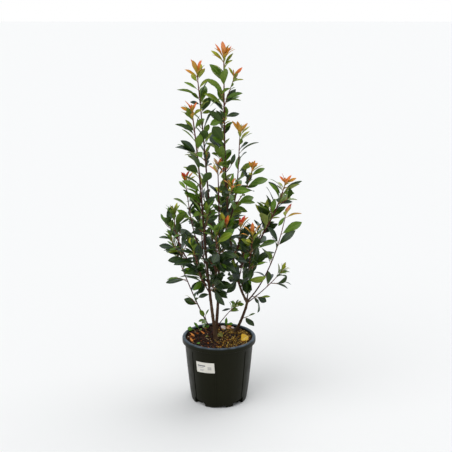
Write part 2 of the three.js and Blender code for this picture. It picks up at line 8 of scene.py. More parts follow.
import bpy
import numpy as np
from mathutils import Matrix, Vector
from mathutils.bvhtree import BVHTree


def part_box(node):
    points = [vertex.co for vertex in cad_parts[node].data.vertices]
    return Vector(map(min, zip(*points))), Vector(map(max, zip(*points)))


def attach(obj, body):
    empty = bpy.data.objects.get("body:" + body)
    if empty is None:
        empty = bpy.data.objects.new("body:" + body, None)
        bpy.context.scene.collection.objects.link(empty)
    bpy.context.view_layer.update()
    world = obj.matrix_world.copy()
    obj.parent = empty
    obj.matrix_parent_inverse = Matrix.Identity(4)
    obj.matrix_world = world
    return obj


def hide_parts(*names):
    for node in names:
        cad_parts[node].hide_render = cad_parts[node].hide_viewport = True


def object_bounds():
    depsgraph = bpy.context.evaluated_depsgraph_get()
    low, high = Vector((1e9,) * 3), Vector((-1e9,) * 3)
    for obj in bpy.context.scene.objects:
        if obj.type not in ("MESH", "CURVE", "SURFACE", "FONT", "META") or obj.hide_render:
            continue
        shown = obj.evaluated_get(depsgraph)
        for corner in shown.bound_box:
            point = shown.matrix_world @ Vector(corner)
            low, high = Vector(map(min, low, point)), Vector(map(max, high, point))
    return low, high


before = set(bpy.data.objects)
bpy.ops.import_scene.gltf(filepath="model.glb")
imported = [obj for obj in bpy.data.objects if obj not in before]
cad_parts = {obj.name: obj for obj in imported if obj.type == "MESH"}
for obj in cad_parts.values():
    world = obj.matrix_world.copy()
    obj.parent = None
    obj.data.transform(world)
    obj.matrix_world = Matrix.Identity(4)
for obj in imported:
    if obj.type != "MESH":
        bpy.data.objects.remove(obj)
cad_low, cad_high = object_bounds()

MM = 0.001
pot_low, pot_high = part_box("pot")
soil_low, soil_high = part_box("soil")
POT_HEIGHT = pot_high.z / MM
RIM_RADIUS = pot_high.x / MM
SOIL_TOP = round(soil_high.z / MM, 3)
LIMBS = sorted(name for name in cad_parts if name.startswith("limb_"))
MASSES = sorted(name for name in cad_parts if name.startswith("foliage_"))

# The rule of growth, in millimetres and degrees, as in the solids
CLEAR = 0.35
EASE = 0.3
LIMB_STEP = 44
TAPER = 0.8
TWIG_THICK = 3.4
TWIG_THIN = 2.0
TWIG_LEAN = 51.5
TWIG_RISE = 0.55
TWIG_LENGTHS = (0.8, 1.2)
TWIG_SHORTENS = 0.35
TWIG_FIRST = 0.35
TWIG_SPARE = 0.9
TWIG_TRIES = 5
TWIG_TRY_TURN = 61
LEAF_SLENDER = 0.37
LEAF_THICK = 0.028
LEAF_LEAST = 0.9
LEAF_FOLD = 0.3
LEAF_MIDDLE = 0.54
LEAF_SHOULDER = 0.18
LEAF_SKYWARD = 0.6
LEAF_SIZES = (0.82, 1.1)
LEAF_SPACINGS = (0.85, 1.15)
LEAF_WANDERS = (-14, 14)
LEAF_ANGLES = (32, 58)
LEAF_DROOPS = (8, 42)
LEAF_ROLLS = (18, 60)
LEAF_STOP = 0.7
LEAF_TRIES = 4
LEAF_TRY_TURN = 47
LEAF_TRY_SHORTER = 0.14
LEAF_TRY_STEEPER = 0.12
TIP_SIZE = 0.7
TIP_GROWTH = 1.5
TWIG_LEAF = 0.9
TWIG_LEAF_GAP = 28
TWIG_YOUNG = 1
YOUNG_SIZES = (0.54, 0.66)
YOUNG_SHRINK = 0.25
YOUNG_ANGLES = (30, 46)
YOUNG_CLOSES = 0.75
YOUNG_DROOP = 16
YOUNG_STEP = 2.5
YOUNG_END = 1
YOUNG_RANK = 0.6
GOLDEN_TURN = 137.5
AFTER_LIMB = 14
AFTER_FORK = 20
LIMB_MARGIN = 3
SPACE_MARGIN = 0.8

# What a row below leaves out
USUAL = dict(ease=EASE, gap=40, twigs=0, twig=0, fill=0.5, crown=1)

# Every shoot of the plant, as in the solids: its foot on the mix, or its origin and the height at which
# it leaves that; its tip; its lean and heading as it leaves and as it ends; how thick and thin it is;
# the share that is bare; the size and gap of its leaves; its side twigs and their length; and how many
# young leaves end it. What the looks add: flush, the colours of its young tip; fill, the gap between
# its added leaves as a share of the rule's; tone, the kinds of its grown leaves; crown, the share of
# their size that its young leaves have; taper, how its stem thins.
SHOOTS = [
    dict(name="left_stem", foot=(-11, -14), tip=(-93, -28, 1102), leave=(8, 172), end=(7, 180),
         ease=0.45, thick=14.5, thin=4.2, bare=0.5, leaf=83, gap=40, twigs=1, twig=60, young=4,
         flush="coral", fill=0.65),
    dict(name="centre_stem", foot=(-14, 28), tip=(-4, 96, 880), leave=(6, 10), end=(2, 180), thick=13,
         thin=3.6, bare=0.44, leaf=81, gap=38, twigs=3, twig=75, young=4, flush="pale", taper=0.95),
    dict(name="right_stem", foot=(65, 65), tip=(110, 42, 380), leave=(25, 333), end=(9, 0), thick=12,
         thin=9.5, bare=1),
    dict(name="outer_stem", foot=(-34, 92), tip=(-178, 100, 592), leave=(28, 190), end=(18, 180),
         thick=6.6, thin=3, bare=0.66, leaf=70, gap=36, twigs=1, twig=50, young=3, flush="green",
         fill=1.6),
    dict(name="low_stem", foot=(-24, 50), tip=(68, 60, 354), leave=(31, 5), end=(49, 0), thick=4.4,
         thin=2.6, bare=0.6, leaf=51, gap=26, young=4, flush="green", fill=0.5,
         tone=("bright", "bright", "olive")),

    dict(name="leader", origin="right_stem", at=372, tip=(19, -10, 1304), leave=(32, 182), end=(1, 180),
         ease=0.2, thick=9.4, thin=4.2, bare=0.46, leaf=87, gap=42, twigs=2, twig=60, young=5,
         flush="coral", fill=0.6),
    dict(name="tall_left", origin="centre_stem", at=392, tip=(-78, 28, 1250), leave=(6, 190),
         end=(6, 180), thick=9, thin=3.6, bare=0.52, leaf=79, gap=40, twigs=1, twig=60, young=4,
         flush="coral", fill=0.65),
    dict(name="upper_right", origin="leader", at=690, tip=(78, 30, 1022), leave=(30, 40), end=(4, 0),
         thick=6, thin=3.2, bare=0.2, leaf=81, gap=42, twigs=1, twig=60, young=4, flush="bronze",
         fill=0.8),
    dict(name="outer_right", origin="leader", at=498, tip=(243, 0, 843), leave=(42, 350), end=(14, 0),
         thick=7.6, thin=3.4, bare=0.48, leaf=83, gap=30, twigs=3, twig=70, young=4, flush="coral",
         fill=0.8, crown=0.66),
    dict(name="back_right", origin="right_stem", at=360, tip=(186, 115, 728), leave=(26, 75),
         end=(16, 10), thick=5.6, thin=2.8, bare=0.36, leaf=72, gap=36, twigs=2, twig=65, young=3,
         flush="green"),
    dict(name="front_right", origin="right_stem", at=376, tip=(247, -12, 733), leave=(42, 342),
         end=(10, 0), thick=6, thin=2.8, bare=0.42, leaf=87, gap=54, young=4, flush="red", fill=2.5),
    dict(name="low_right", origin="right_stem", at=368, tip=(243, 96, 480), leave=(62, 22),
         end=(42, 20), thick=4.8, thin=2.6, bare=0.4, leaf=65, gap=38, twigs=1, twig=45, young=4,
         flush="green", fill=1.4),
    dict(name="outer_left", origin="left_stem", at=470, tip=(-160, -45, 738), leave=(56, 195),
         end=(6, 0), thick=7, thin=3.2, bare=0.38, leaf=81, gap=25, twigs=3, twig=60, young=4,
         flush="green", fill=1.1),
    dict(name="inner_left", origin="left_stem", at=538, tip=(-122, 60, 843), leave=(46, 135),
         end=(3, 180), thick=5.6, thin=2.8, bare=0.3, leaf=72, gap=36, twigs=1, twig=60, young=3,
         flush="red", fill=3),
    dict(name="back_tall", origin="leader", at=785, tip=(10, 62, 1054), leave=(38, 100), end=(2, 0),
         thick=4.8, thin=2.8, bare=0.25, leaf=76, gap=38, twigs=1, twig=50, young=4, flush="coral",
         fill=0.7),

    dict(name="near_left", origin="left_stem", at=425, tip=(-88, -150, 640), leave=(48, 250),
         end=(12, 240), thick=5.4, thin=2.6, bare=0.2, leaf=79, gap=33, twigs=2, twig=70, young=4,
         flush="leafy", fill=0.36),
    dict(name="near_centre", origin="centre_stem", at=440, tip=(-8, -160, 700), leave=(44, 275),
         end=(8, 270), thick=5.4, thin=2.6, bare=0.2, leaf=81, gap=33, twigs=3, twig=70, young=4,
         flush="leafy", fill=0.36),
    dict(name="near_right", origin="leader", at=432, tip=(122, -112, 684), leave=(46, 300),
         end=(8, 300), thick=5, thin=2.6, bare=0.2, leaf=79, gap=33, twigs=3, twig=70, young=4,
         flush="coral"),
    dict(name="far_left", origin="left_stem", at=440, tip=(-78, 165, 740), leave=(46, 110),
         end=(8, 120), thick=5.2, thin=2.6, bare=0.2, leaf=81, gap=35, twigs=3, twig=70, young=4,
         flush="leafy", fill=0.4),
    dict(name="far_centre", origin="centre_stem", at=490, tip=(36, 178, 790), leave=(44, 70),
         end=(6, 80), thick=5, thin=2.6, bare=0.2, leaf=81, gap=35, twigs=3, twig=70, young=4,
         flush="coral"),
    dict(name="far_right", origin="leader", at=455, tip=(104, 168, 610), leave=(48, 75), end=(8, 70),
         thick=5, thin=2.6, bare=0.2, leaf=81, gap=35, twigs=3, twig=70, young=4, flush="leafy"),

    dict(name="right_tip", origin="upper_right", at=748, tip=(121, -4, 896), leave=(42, 350),
         end=(8, 0), thick=3.8, thin=2.4, bare=0, leaf=74, gap=36, young=4, flush="bronze", fill=0.8),
    dict(name="top_side", origin="leader", at=1122, tip=(55, 3, 1226), leave=(16, 20), end=(16, 10),
         thick=3.2, thin=2.4, bare=0, leaf=59, gap=45, young=4, flush="bronze", fill=0.9),
    dict(name="inner_front", origin="leader", at=560, tip=(80, -66, 700), leave=(50, 300), end=(8, 300),
         thick=3.6, thin=2.4, bare=0, leaf=74, gap=33, twigs=1, twig=50, young=3, flush="red"),
    dict(name="middle_front", origin="leader", at=640, tip=(26, -72, 712), leave=(56, 262),
         end=(4, 262), thick=3.4, thin=2.4, bare=0, leaf=68, gap=33, young=3, flush="red"),
    dict(name="left_front", origin="left_stem", at=640, tip=(-40, -100, 750), leave=(46, 255),
         end=(6, 250), thick=3.8, thin=2.4, bare=0, leaf=76, gap=36, twigs=1, twig=55, young=3,
         flush="leafy", fill=3, tone=("dark", "dark", "green")),
    dict(name="tall_back", origin="tall_left", at=690, tip=(-66, 112, 830), leave=(46, 115),
         end=(6, 110), thick=3.8, thin=2.4, bare=0, leaf=76, gap=36, twigs=1, twig=55, young=3,
         flush="green", fill=2.4),
    dict(name="tall_inner", origin="tall_left", at=880, tip=(-44, 0, 950), leave=(50, 255),
         end=(6, 255), thick=3, thin=2.2, bare=0, leaf=57, gap=36, young=3, flush="bronze"),
    dict(name="leader_front", origin="leader", at=780, tip=(50, -62, 850), leave=(54, 290),
         end=(8, 290), thick=3, thin=2.2, bare=0, leaf=65, gap=33, young=3, flush="coral"),
    dict(name="outer_bunch", origin="outer_left", at=560, tip=(-172, -96, 668), leave=(58, 235),
         end=(14, 215), thick=3.2, thin=2.2, bare=0, leaf=66, gap=34, young=3, flush="leafy", fill=2),
    # The heart's dark tone is partly painted shade
    dict(name="heart_front", origin="left_stem", at=430, tip=(-2, -78, 556), leave=(58, 290),
         end=(20, 300), thick=3.6, thin=2.4, bare=0, leaf=81, gap=30, twigs=1, twig=60, young=2,
         flush="leafy", fill=0.3, tone=("dark",)),
    dict(name="heart_right", origin="leader", at=450, tip=(52, -48, 545), leave=(66, 240),
         end=(24, 240), thick=3.4, thin=2.4, bare=0, leaf=79, gap=30, twigs=1, twig=50, young=2,
         flush="leafy", fill=0.3),
    dict(name="heart_back", origin="centre_stem", at=418, tip=(-46, 92, 520), leave=(62, 140),
         end=(34, 140), thick=3.4, thin=2.4, bare=0, leaf=79, gap=30, twigs=1, twig=50, young=2,
         flush="leafy", fill=0.3),
    dict(name="foot_left", origin="outer_stem", at=268, tip=(-54, 70, 306), leave=(38, 250),
         end=(10, 250), thick=2.8, thin=2.2, bare=0, leaf=57, gap=23, young=2, flush="green", fill=0.8,
         tone=("bright", "green")),
    dict(name="foot_right", origin="right_stem", at=300, tip=(112, 30, 318), leave=(66, 320),
         end=(70, 320), thick=2.8, thin=2.2, bare=0, leaf=59, gap=24, young=2, flush="green", fill=3),
    dict(name="fork_side", origin="front_right", at=396, tip=(158, 10, 402), leave=(76, 315),
         end=(82, 330), thick=2.8, thin=2.2, bare=0, leaf=63, gap=23, young=2, flush="green", fill=3),
    dict(name="outer_low", origin="outer_stem", at=345, tip=(-114, 60, 385), leave=(60, 230),
         end=(50, 220), thick=2.8, thin=2.2, bare=0, leaf=70, gap=25, young=2, flush="green", fill=3),
    dict(name="outer_droop", origin="outer_stem", at=438, tip=(-154, 62, 462), leave=(68, 235),
         end=(74, 215), thick=2.8, thin=2.2, bare=0, leaf=83, gap=25, young=2, flush="green", fill=3),
]

# Seeds of what the looks add
FINE_SEED = 500
WOOD_SEED = 11
LEAF_SEED = 23
CHIP_SEED = 31
FALLEN_SEED = 41
SPROUT_SEED = 43

# Added leaves and twiglets: a spread is from the least to the most, or from the outer to the inner leaf
ROSETTE_LEAST = 3
ROSETTE_EXTRAS = 3
ROSETTE_SIZES = (0.76, 0.56)
ROSETTE_VARIES = (0.9, 1.1)
ROSETTE_ANGLES = (24, 8)
ROSETTE_DEPTH = (3, 24)
ROSETTE_DROOPS = (6, 18)
ROSETTE_RANKS = (0.6, 1)
WHORL_LEAVES = 4
WHORL_SIZES = (0.64, 0.84)
WHORL_ANGLES = (28, 54)
WHORL_DEPTH = (9, 30)
WHORL_DROOPS = (14, 40)
WHORL_RANK = 0.1
YOUNG_TURNS = 1.3
TIP_CLEAR = 0.1
FILL_FIRST = 0.6
TWIG_FILL_FIRST = 12
TWIG_FILL_GAP = 24
TWIGLET_LENGTH_EACH = 240
TWIGLET_FIRST = 0.3
TWIGLET_WANDER = 0.5
TWIGLET_SPARE = 0.6
TWIGLET_LENGTHS = (24, 44)
TWIGLET_LEAF = 0.74
TWIGLET_LEAF_FIRST = 9
TWIGLET_LEAF_GAP = 15
TWIGLET_YOUNG = 1
TWIGLET_THICK = 2.2
TWIGLET_THIN = 1.4

# Wood: rings, relief, leaf nodes, collars at forks and the flare at the foot of a stem
FINE_STEP = 3.0
STEM_TAPER = 0.58
STEM_FROM = 4.6
STEM_RING = 14
SHOOT_RING = 9
TWIG_RING = 7
TWIG_STEP = 4
TWIG_LEAST_STEPS = 5
KNEE_BEND = 0.35
SOIL_SINK = 9
OLD_WOOD = 620
TWIG_AGE = 0.22
FLUTES = ((3, 0.05, 0.012), (5, 0.035, -0.02))
ROUGH = 0.11
YOUNG_RELIEF = 0.25
TWIG_RELIEF = 0.5
NODE_SWELL = 0.16
NODE_LENGTH = 2.6
NODE_FIRST = (0.3, 1)
NODE_ROUND = 0.5
NODE_BUD = 0.9
NODE_GAP = 0.8
TWIG_NODES = 22
BOUGH_COLLAR = 0.4
COLLAR_LENGTH = 9
TWIG_COLLAR_LENGTH = 4
FLARE = 0.75
FLARE_LENGTH = 9
FLARE_LOBES = 3
FLARE_LEVEL = 0.75
FLARE_WAVE = 0.35

# The blade of a leaf: how far along and how wide each row of corners is, and how leaves vary
BLADE_ROWS = ((0.07, 0.20), (0.22, 0.56), (0.40, 0.88), (0.57, 1.0), (0.75, 0.80), (0.91, 0.36))
BLADE_COLUMNS = (-1, -0.5, 0, 0.5, 1)
BLADE_SLENDER = 0.345
YOUNG_SLENDER = 0.82
BLADE_THICK = 0.38
MIDRIB_DEPTH = 0.6
BLADE_LIFTS = (2, 11)
BLADE_FOLDS = (8, 24)
BLADE_CURLS = (-0.05, 0.16)
BLADE_WAVES = (0.0, 0.09)
BLADE_RIPPLES = 9
BLADE_TWISTS = (-16, 16)
TWIST_FROM = 0.25
BLADE_WIDTHS = (0.92, 1.06)
PETIOLE = 0.11
PETIOLE_LONGEST = 9
STALK_THICK = 0.55
STALK_GROWTH = 0.006
STALK_RADII = (1.25, 1, 0.95, 0.5)
STALK_SUNK = 0.35
STALK_UNDER_BLADE = 0.12
STALK_RING = 5
STALK_RED = 0.3
BUD_COURSE = ((1.6, 1.2), (2.1, 2.6), (2.1, 4.6))
BUD_RADII = (0.9, 0.95, 0.12)

# Grown leaves are made fuller on shoots with leaves over a size, and are kept in the plant's reach
FULLER = 1.2
FULLER_FROM = 62
REACH_MARGIN = 14
REACH_SHRINK = 0.93
REACH_TRIES = 8
BARK_REACH = 4


# Small tools for vectors and chance

# The steps of chance, as in the solids
SEED_STEP = 7919
SEED_START = 17
MULTIPLIER = 16807
PRIME = 2147483647

PHASES = (0, 6)
CURVE_PLACES = 201


def unit(vector):
    return vector / np.linalg.norm(vector)


def length_of(points):
    return np.linalg.norm(np.diff(points, axis=0), axis=1).sum()


def direction(lean, heading):
    out = math.sin(math.radians(lean))
    up = math.cos(math.radians(lean))
    turn = math.radians(heading)
    return np.array([out * math.cos(turn), out * math.sin(turn), up])


def chance(seed):
    """A repeatable row of numbers between 0 and 1."""
    state = seed * SEED_STEP + SEED_START

    def draw():
        nonlocal state
        state = state * MULTIPLIER % PRIME
        return state / PRIME

    return draw


def within(spread, share):
    return spread[0] + (spread[1] - spread[0]) * share


def between(draw, spread):
    return within(spread, draw())


def about(vector, axis, angle):
    """A vector turned about an axis of unit length."""
    turned = vector * math.cos(angle) + np.cross(axis, vector) * math.sin(angle)
    return turned + axis * axis.dot(vector) * (1 - math.cos(angle))


# The courses of the shoots

def curve_of(start, row):
    """A cubic curve from a shoot's start to its tip, with even steps along its length."""
    tip = np.array(row["tip"], float)
    handle = np.linalg.norm(tip - start) * row["ease"]
    corners = np.array([
        start,
        start + direction(*row["leave"]) * handle,
        tip - direction(*row["end"]) * handle,
        tip,
    ])

    def at(share):
        t = np.atleast_1d(share)[:, None]
        weights = ((1 - t) ** 3, 3 * (1 - t) ** 2 * t, 3 * (1 - t) * t ** 2, t ** 3)
        return sum(weight * corner for weight, corner in zip(weights, corners))

    shares = np.linspace(0, 1, CURVE_PLACES)
    steps = np.linalg.norm(np.diff(at(shares), axis=0), axis=1)
    lengths = np.concatenate([[0], np.cumsum(steps)])

    def even(share):
        return at(np.interp(np.asarray(share) * lengths[-1], lengths, shares))

    return even, lengths[-1]


def ways_along(points):
    ahead = np.concatenate([points[1:], points[-1:]])
    behind = np.concatenate([points[:1], points[:-1]])
    ways = ahead - behind
    return ways / np.linalg.norm(ways, axis=1)[:, None]


def point_at_height(points, height):
    i = next(i for i, point in enumerate(points) if point[2] >= height)
    low, high = points[i - 1], points[i]
    return low + (high - low) * (height - low[2]) / (high[2] - low[2])


def lay_out(rows):
    """Each shoot with its course, its thickness along it, and the place where its leaves begin."""
    laid = {}
    for index, given in enumerate(rows):
        row = dict(USUAL, **given)
        if "origin" in row:
            start = point_at_height(laid[row["origin"]]["points"], row["at"])
        else:
            start = np.array([*row["foot"], SOIL_TOP + CLEAR], float)
        even, length = curve_of(start, row)
        steps = max(3, int(math.floor(length / LIMB_STEP + 0.5)))
        points = even(np.arange(steps + 1) / steps)
        leafy = int(math.floor(row["bare"] * steps + 0.5))
        laid[row["name"]] = dict(
            row, points=points, ways=ways_along(points), leafy=leafy, even=even, length=length,
            bare_share=leafy / steps, seed=index + 1, widest=row["thick"] / 2)
    return laid


def has_limb(shoot):
    return shoot["leafy"] > 0


def has_leaves(shoot):
    return shoot["leafy"] < len(shoot["points"]) - 1


# Whether twigs and leaves keep to their own mass's space

class Spaces:
    """The straight pieces of all limbs and all leafy stems, to measure distances from."""

    def __init__(self, shoots):
        leafy = [s for s in shoots if has_leaves(s)]
        limbs = [s for s in shoots if has_limb(s)]
        self.leafy = self.pieces_of([(s["name"], s["points"][s["leafy"]:]) for s in leafy])
        self.limbs = self.pieces_of([(s["name"], s["points"][:s["leafy"] + 1]) for s in limbs])
        self.least = np.array([s["widest"] + LIMB_MARGIN for s in limbs])

    def pieces_of(self, courses):
        starts = np.concatenate([points[:-1] for _, points in courses])
        steps = np.concatenate([np.diff(points, axis=0) for _, points in courses])
        counts = [len(points) - 1 for _, points in courses]
        firsts = np.concatenate([[0], np.cumsum(counts)[:-1]])
        return [name for name, _ in courses], starts, steps, firsts

    def distances(self, points, pieces):
        _, starts, steps, firsts = pieces
        offsets = points[:, None, :] - starts[None, :, :]
        shares = (offsets * steps).sum(2) / (steps * steps).sum(1)
        nearest = starts + steps * np.clip(shares, 0, 1)[:, :, None]
        spread = np.linalg.norm(points[:, None, :] - nearest, axis=2)
        return np.minimum.reduceat(spread, firsts, axis=1)

    def keeps(self, points, name):
        points = np.asarray(points)
        if points[:, 2].min() < SOIL_TOP + LIMB_MARGIN:
            return False
        if (self.distances(points, self.limbs) < self.least).any():
            return False
        spread = self.distances(points, self.leafy)
        own = self.leafy[0].index(name)
        others = np.delete(spread, own, axis=1)
        return bool((others > spread[:, own:own + 1] + SPACE_MARGIN).all())


def place_along(points, distance):
    left = distance
    for i in range(len(points) - 1):
        step = np.linalg.norm(points[i + 1] - points[i])
        if left <= step or i + 2 == len(points):
            way = (points[i + 1] - points[i]) / step
            return points[i] + way * min(left, step), way
        left -= step
    return None


def outward(way, turn):
    side = np.array([0.0, 1.0, 0.0])
    side = unit(side - way * side.dot(way))
    cross = np.cross(way, side)
    return side * math.cos(math.radians(turn)) + cross * math.sin(math.radians(turn))


def leaf_frame(way, out, angle, roll):
    """The directions along a leaf, across it and up from it."""
    along = way * math.cos(angle) + out * math.sin(angle)
    sky = way + np.array([0, 0, LEAF_SKYWARD])
    up = about(unit(sky - along * sky.dot(along)), along, roll)
    return along, np.cross(up, along), up


def leaf_reach(point, axes, size, droop):
    """The corners by which a leaf is kept in its space."""
    along, across, up = axes
    bent = along * math.cos(droop) - up * math.sin(droop)
    half = size * LEAF_SLENDER / 2
    thick = max(size * LEAF_THICK, LEAF_LEAST) / 2
    middle = point + along * size * LEAF_MIDDLE
    corners = [middle + bent * size * (1 - LEAF_MIDDLE), middle + up * thick, middle - up * thick]
    for line, share in ((along, -LEAF_SHOULDER), (bent, LEAF_SHOULDER)):
        for side in (-1, 1):
            corners.append(middle + line * size * share + across * side * half + up * half * LEAF_FOLD)
    return corners


# The leaves and twigs of a mass, by the rule of the solids

def leaf(point, axes, size, droop, rank, age):
    return dict(point=point, axes=axes, size=size, droop=droop, rank=rank, age=age, side_twig=False)


def leaves_along(points, first, size, gap, young, draw, fits):
    """Leaves in a spiral and a young rosette at the tip. Rank is 0 to 1 from outer to inner."""
    leaves = []
    whole = length_of(points)
    turn = 360 * draw()
    at = first
    while at < whole - gap * LEAF_STOP:
        turn += GOLDEN_TURN + between(draw, LEAF_WANDERS)
        age = 1 - at / whole
        grown = size * min(1, TIP_SIZE + TIP_GROWTH * age) * between(draw, LEAF_SIZES)
        angle = math.radians(between(draw, LEAF_ANGLES))
        droop = math.radians(between(draw, LEAF_DROOPS))
        roll = math.radians(between(draw, LEAF_ROLLS)) * (-1 if draw() < 0.5 else 1)
        point, way = place_along(points, at)
        for attempt in range(LEAF_TRIES):
            out = outward(way, turn + attempt * LEAF_TRY_TURN)
            shorter = grown * (1 - LEAF_TRY_SHORTER * attempt)
            steeper = angle * (1 - LEAF_TRY_STEEPER * attempt)
            axes = leaf_frame(way, out, steeper, roll)
            if fits(leaf_reach(point, axes, shorter, droop)):
                leaves.append(leaf(point, axes, shorter, droop, None, age))
                break
        at += gap * between(draw, LEAF_SPACINGS)
    for i in range(young):
        at = whole - YOUNG_END - YOUNG_STEP * (young - 1 - i)
        point, way = place_along(points, at)
        inner = i / max(young - 1, 1)
        angle = math.radians(between(draw, YOUNG_ANGLES) * (1 - inner * YOUNG_CLOSES))
        grown = size * between(draw, YOUNG_SIZES) * (1 - YOUNG_SHRINK * inner)
        axes = leaf_frame(way, outward(way, turn + (i + 1) * GOLDEN_TURN), angle, 0)
        droop = math.radians(YOUNG_DROOP)
        if fits(leaf_reach(point, axes, grown, droop)):
            leaves.append(leaf(point, axes, grown, droop, YOUNG_RANK * inner, 0))
    return leaves


def twig_points(point, way, out, length):
    first = way * math.cos(math.radians(TWIG_LEAN)) + out * math.sin(math.radians(TWIG_LEAN))
    second = unit(first + np.array([0, 0, TWIG_RISE]))
    knee = point + first * length / 2
    return np.array([point, knee, knee + second * length / 2])


def rosette(points, size, draw, fits):
    """The narrow inner leaves of a tip, nearly closed."""
    leaves = []
    turn = 360 * draw()
    whole = length_of(points)
    for i in range(ROSETTE_EXTRAS):
        point, way = place_along(points, whole - between(draw, ROSETTE_DEPTH))
        inner = i / (ROSETTE_EXTRAS - 1)
        grown = size * within(ROSETTE_SIZES, inner) * between(draw, ROSETTE_VARIES)
        angle = math.radians(within(ROSETTE_ANGLES, inner))
        axes = leaf_frame(way, outward(way, turn + i * GOLDEN_TURN), angle, YOUNG_TURNS * (draw() - 0.5))
        droop = math.radians(between(draw, ROSETTE_DROOPS))
        if fits(leaf_reach(point, axes, grown, droop)):
            leaves.append(leaf(point, axes, grown, droop, within(ROSETTE_RANKS, inner), 0))
    return leaves


def whorl(points, size, draw, fits):
    """The larger leaves just under a rosette, still tinted."""
    leaves = []
    turn = 360 * draw()
    whole = length_of(points)
    for i in range(WHORL_LEAVES):
        point, way = place_along(points, whole - between(draw, WHORL_DEPTH))
        angle = math.radians(between(draw, WHORL_ANGLES))
        axes = leaf_frame(way, outward(way, turn + i * GOLDEN_TURN), angle, YOUNG_TURNS * (draw() - 0.5))
        grown = size * between(draw, WHORL_SIZES)
        droop = math.radians(between(draw, WHORL_DROOPS))
        if fits(leaf_reach(point, axes, grown, droop)):
            leaves.append(leaf(point, axes, grown, droop, WHORL_RANK, 0))
    return leaves


def on_side(leaves):
    """Leaves marked as those of side twigs, where no tip is red."""
    for grown in leaves:
        grown["side_twig"] = True
    return leaves


def ruled_growth(shoot, points, fits):
    """The leaves and side twigs of one shoot, as in its solid."""
    draw = chance(shoot["seed"])
    whole = length_of(points)
    first = first_leaf(shoot)
    leaves = leaves_along(points, first, shoot["leaf"], shoot["gap"], shoot["young"], draw, fits)
    twigs = []
    turn = 360 * draw()
    for i in range(shoot["twigs"]):
        at = first + (whole - first) * (i + TWIG_FIRST) / (shoot["twigs"] + TWIG_SPARE)
        turn += GOLDEN_TURN
        point, way = place_along(points, at)
        length = shoot["twig"] * between(draw, TWIG_LENGTHS) * (1 - TWIG_SHORTENS * at / whole)
        for attempt in range(TWIG_TRIES):
            twig = twig_points(point, way, outward(way, turn + attempt * TWIG_TRY_TURN), length)
            if fits(twig[1:]):
                size = shoot["leaf"] * TWIG_LEAF
                grown = leaves_along(twig, AFTER_FORK, size, TWIG_LEAF_GAP, TWIG_YOUNG, draw, fits)
                leaves += on_side(grown)
                twigs.append((twig, TWIG_THICK, TWIG_THIN))
                break
    return leaves, twigs


def added_growth(shoot, points, twigs, fits):
    """What the looks add to one shoot: leaves between the rule's, a fuller tip and twiglets."""
    fine = chance(FINE_SEED + shoot["seed"])
    whole = length_of(points)
    size = shoot["leaf"]
    first = first_leaf(shoot) * FILL_FIRST
    fill = leaves_along(points, first, size, shoot["gap"] * shoot["fill"], 0, fine, fits)
    leaves = [grown for grown in fill if grown["age"] > TIP_CLEAR]
    if shoot["young"] >= ROSETTE_LEAST:
        leaves += rosette(points, size, fine, fits)
        leaves += whorl(points, size, fine, fits)
    for twig, _, _ in twigs:
        grown = leaves_along(twig, TWIG_FILL_FIRST, size * TWIG_LEAF, TWIG_FILL_GAP, 0, fine, fits)
        leaves += on_side(grown)
    twiglets = []
    count = int(whole / TWIGLET_LENGTH_EACH / shoot["fill"])
    for i in range(count):
        at = whole * (i + TWIGLET_FIRST + TWIGLET_WANDER * fine()) / (count + TWIGLET_SPARE)
        point, way = place_along(points, at)
        twig = twig_points(point, way, outward(way, 360 * fine()), between(fine, TWIGLET_LENGTHS))
        if fits(twig[1:]):
            grown = leaves_along(twig, TWIGLET_LEAF_FIRST, size * TWIGLET_LEAF, TWIGLET_LEAF_GAP,
                                 TWIGLET_YOUNG, fine, fits)
            leaves += on_side(grown)
            twiglets.append((twig, TWIGLET_THICK, TWIGLET_THIN))
    return leaves, twiglets


def first_leaf(shoot):
    return AFTER_LIMB if has_limb(shoot) else AFTER_FORK


def mass_of(shoot, spaces):
    """All leaves and twigs of one shoot."""
    points = shoot["points"][shoot["leafy"]:].copy()
    if has_limb(shoot):
        points[0] = points[0] + shoot["ways"][shoot["leafy"]] * CLEAR

    def fits(corners):
        return spaces.keeps(corners, shoot["name"])

    leaves, twigs = ruled_growth(shoot, points, fits)
    added, twiglets = added_growth(shoot, points, twigs, fits)
    return leaves + added, twigs + twiglets


# Meshes from arrays

class Heap:
    """Corners and faces that many small shapes are joined in."""

    def __init__(self):
        self.corners = []
        self.faces = []
        self.slots = []
        self.values = []
        self.across = []
        self.count = 0

    def add(self, corners, faces, slots=None, value=0.0, across=None):
        corners = np.asarray(corners, float)
        self.corners.append(corners)
        self.faces += [tuple(corner + self.count for corner in face) for face in faces]
        self.slots += list(slots) if slots is not None else [0] * len(faces)
        self.values.append(np.broadcast_to(np.asarray(value, float), len(corners)))
        self.across.append(across if across is not None else np.zeros((len(corners), 2)))
        self.count += len(corners)


def mesh_piece(name, heap, materials, value_name="shade", sharp=50):
    """One joined mesh, with its value and its UV map for the materials to read."""
    mesh = bpy.data.meshes.new(name)
    mesh.from_pydata(np.concatenate(heap.corners) * MM, [], heap.faces)
    for material in materials:
        mesh.materials.append(material)
    mesh.polygons.foreach_set("material_index", heap.slots)
    values = mesh.attributes.new(value_name, "FLOAT", "POINT")
    values.data.foreach_set("value", np.concatenate(heap.values).astype(np.float32))
    corner_of = np.empty(len(mesh.loops), np.int32)
    mesh.loops.foreach_get("vertex_index", corner_of)
    layer = mesh.uv_layers.new(name="blade")
    layer.data.foreach_set("uv", np.concatenate(heap.across)[corner_of].astype(np.float32).ravel())
    piece = bpy.data.objects.new(name, mesh)
    bpy.context.scene.collection.objects.link(piece)
    smooth(piece, sharp)
    return piece


def alone(piece):
    """The piece as the only one selected, and the active one."""
    bpy.ops.object.select_all(action="DESELECT")
    piece.select_set(True)
    bpy.context.view_layer.objects.active = piece


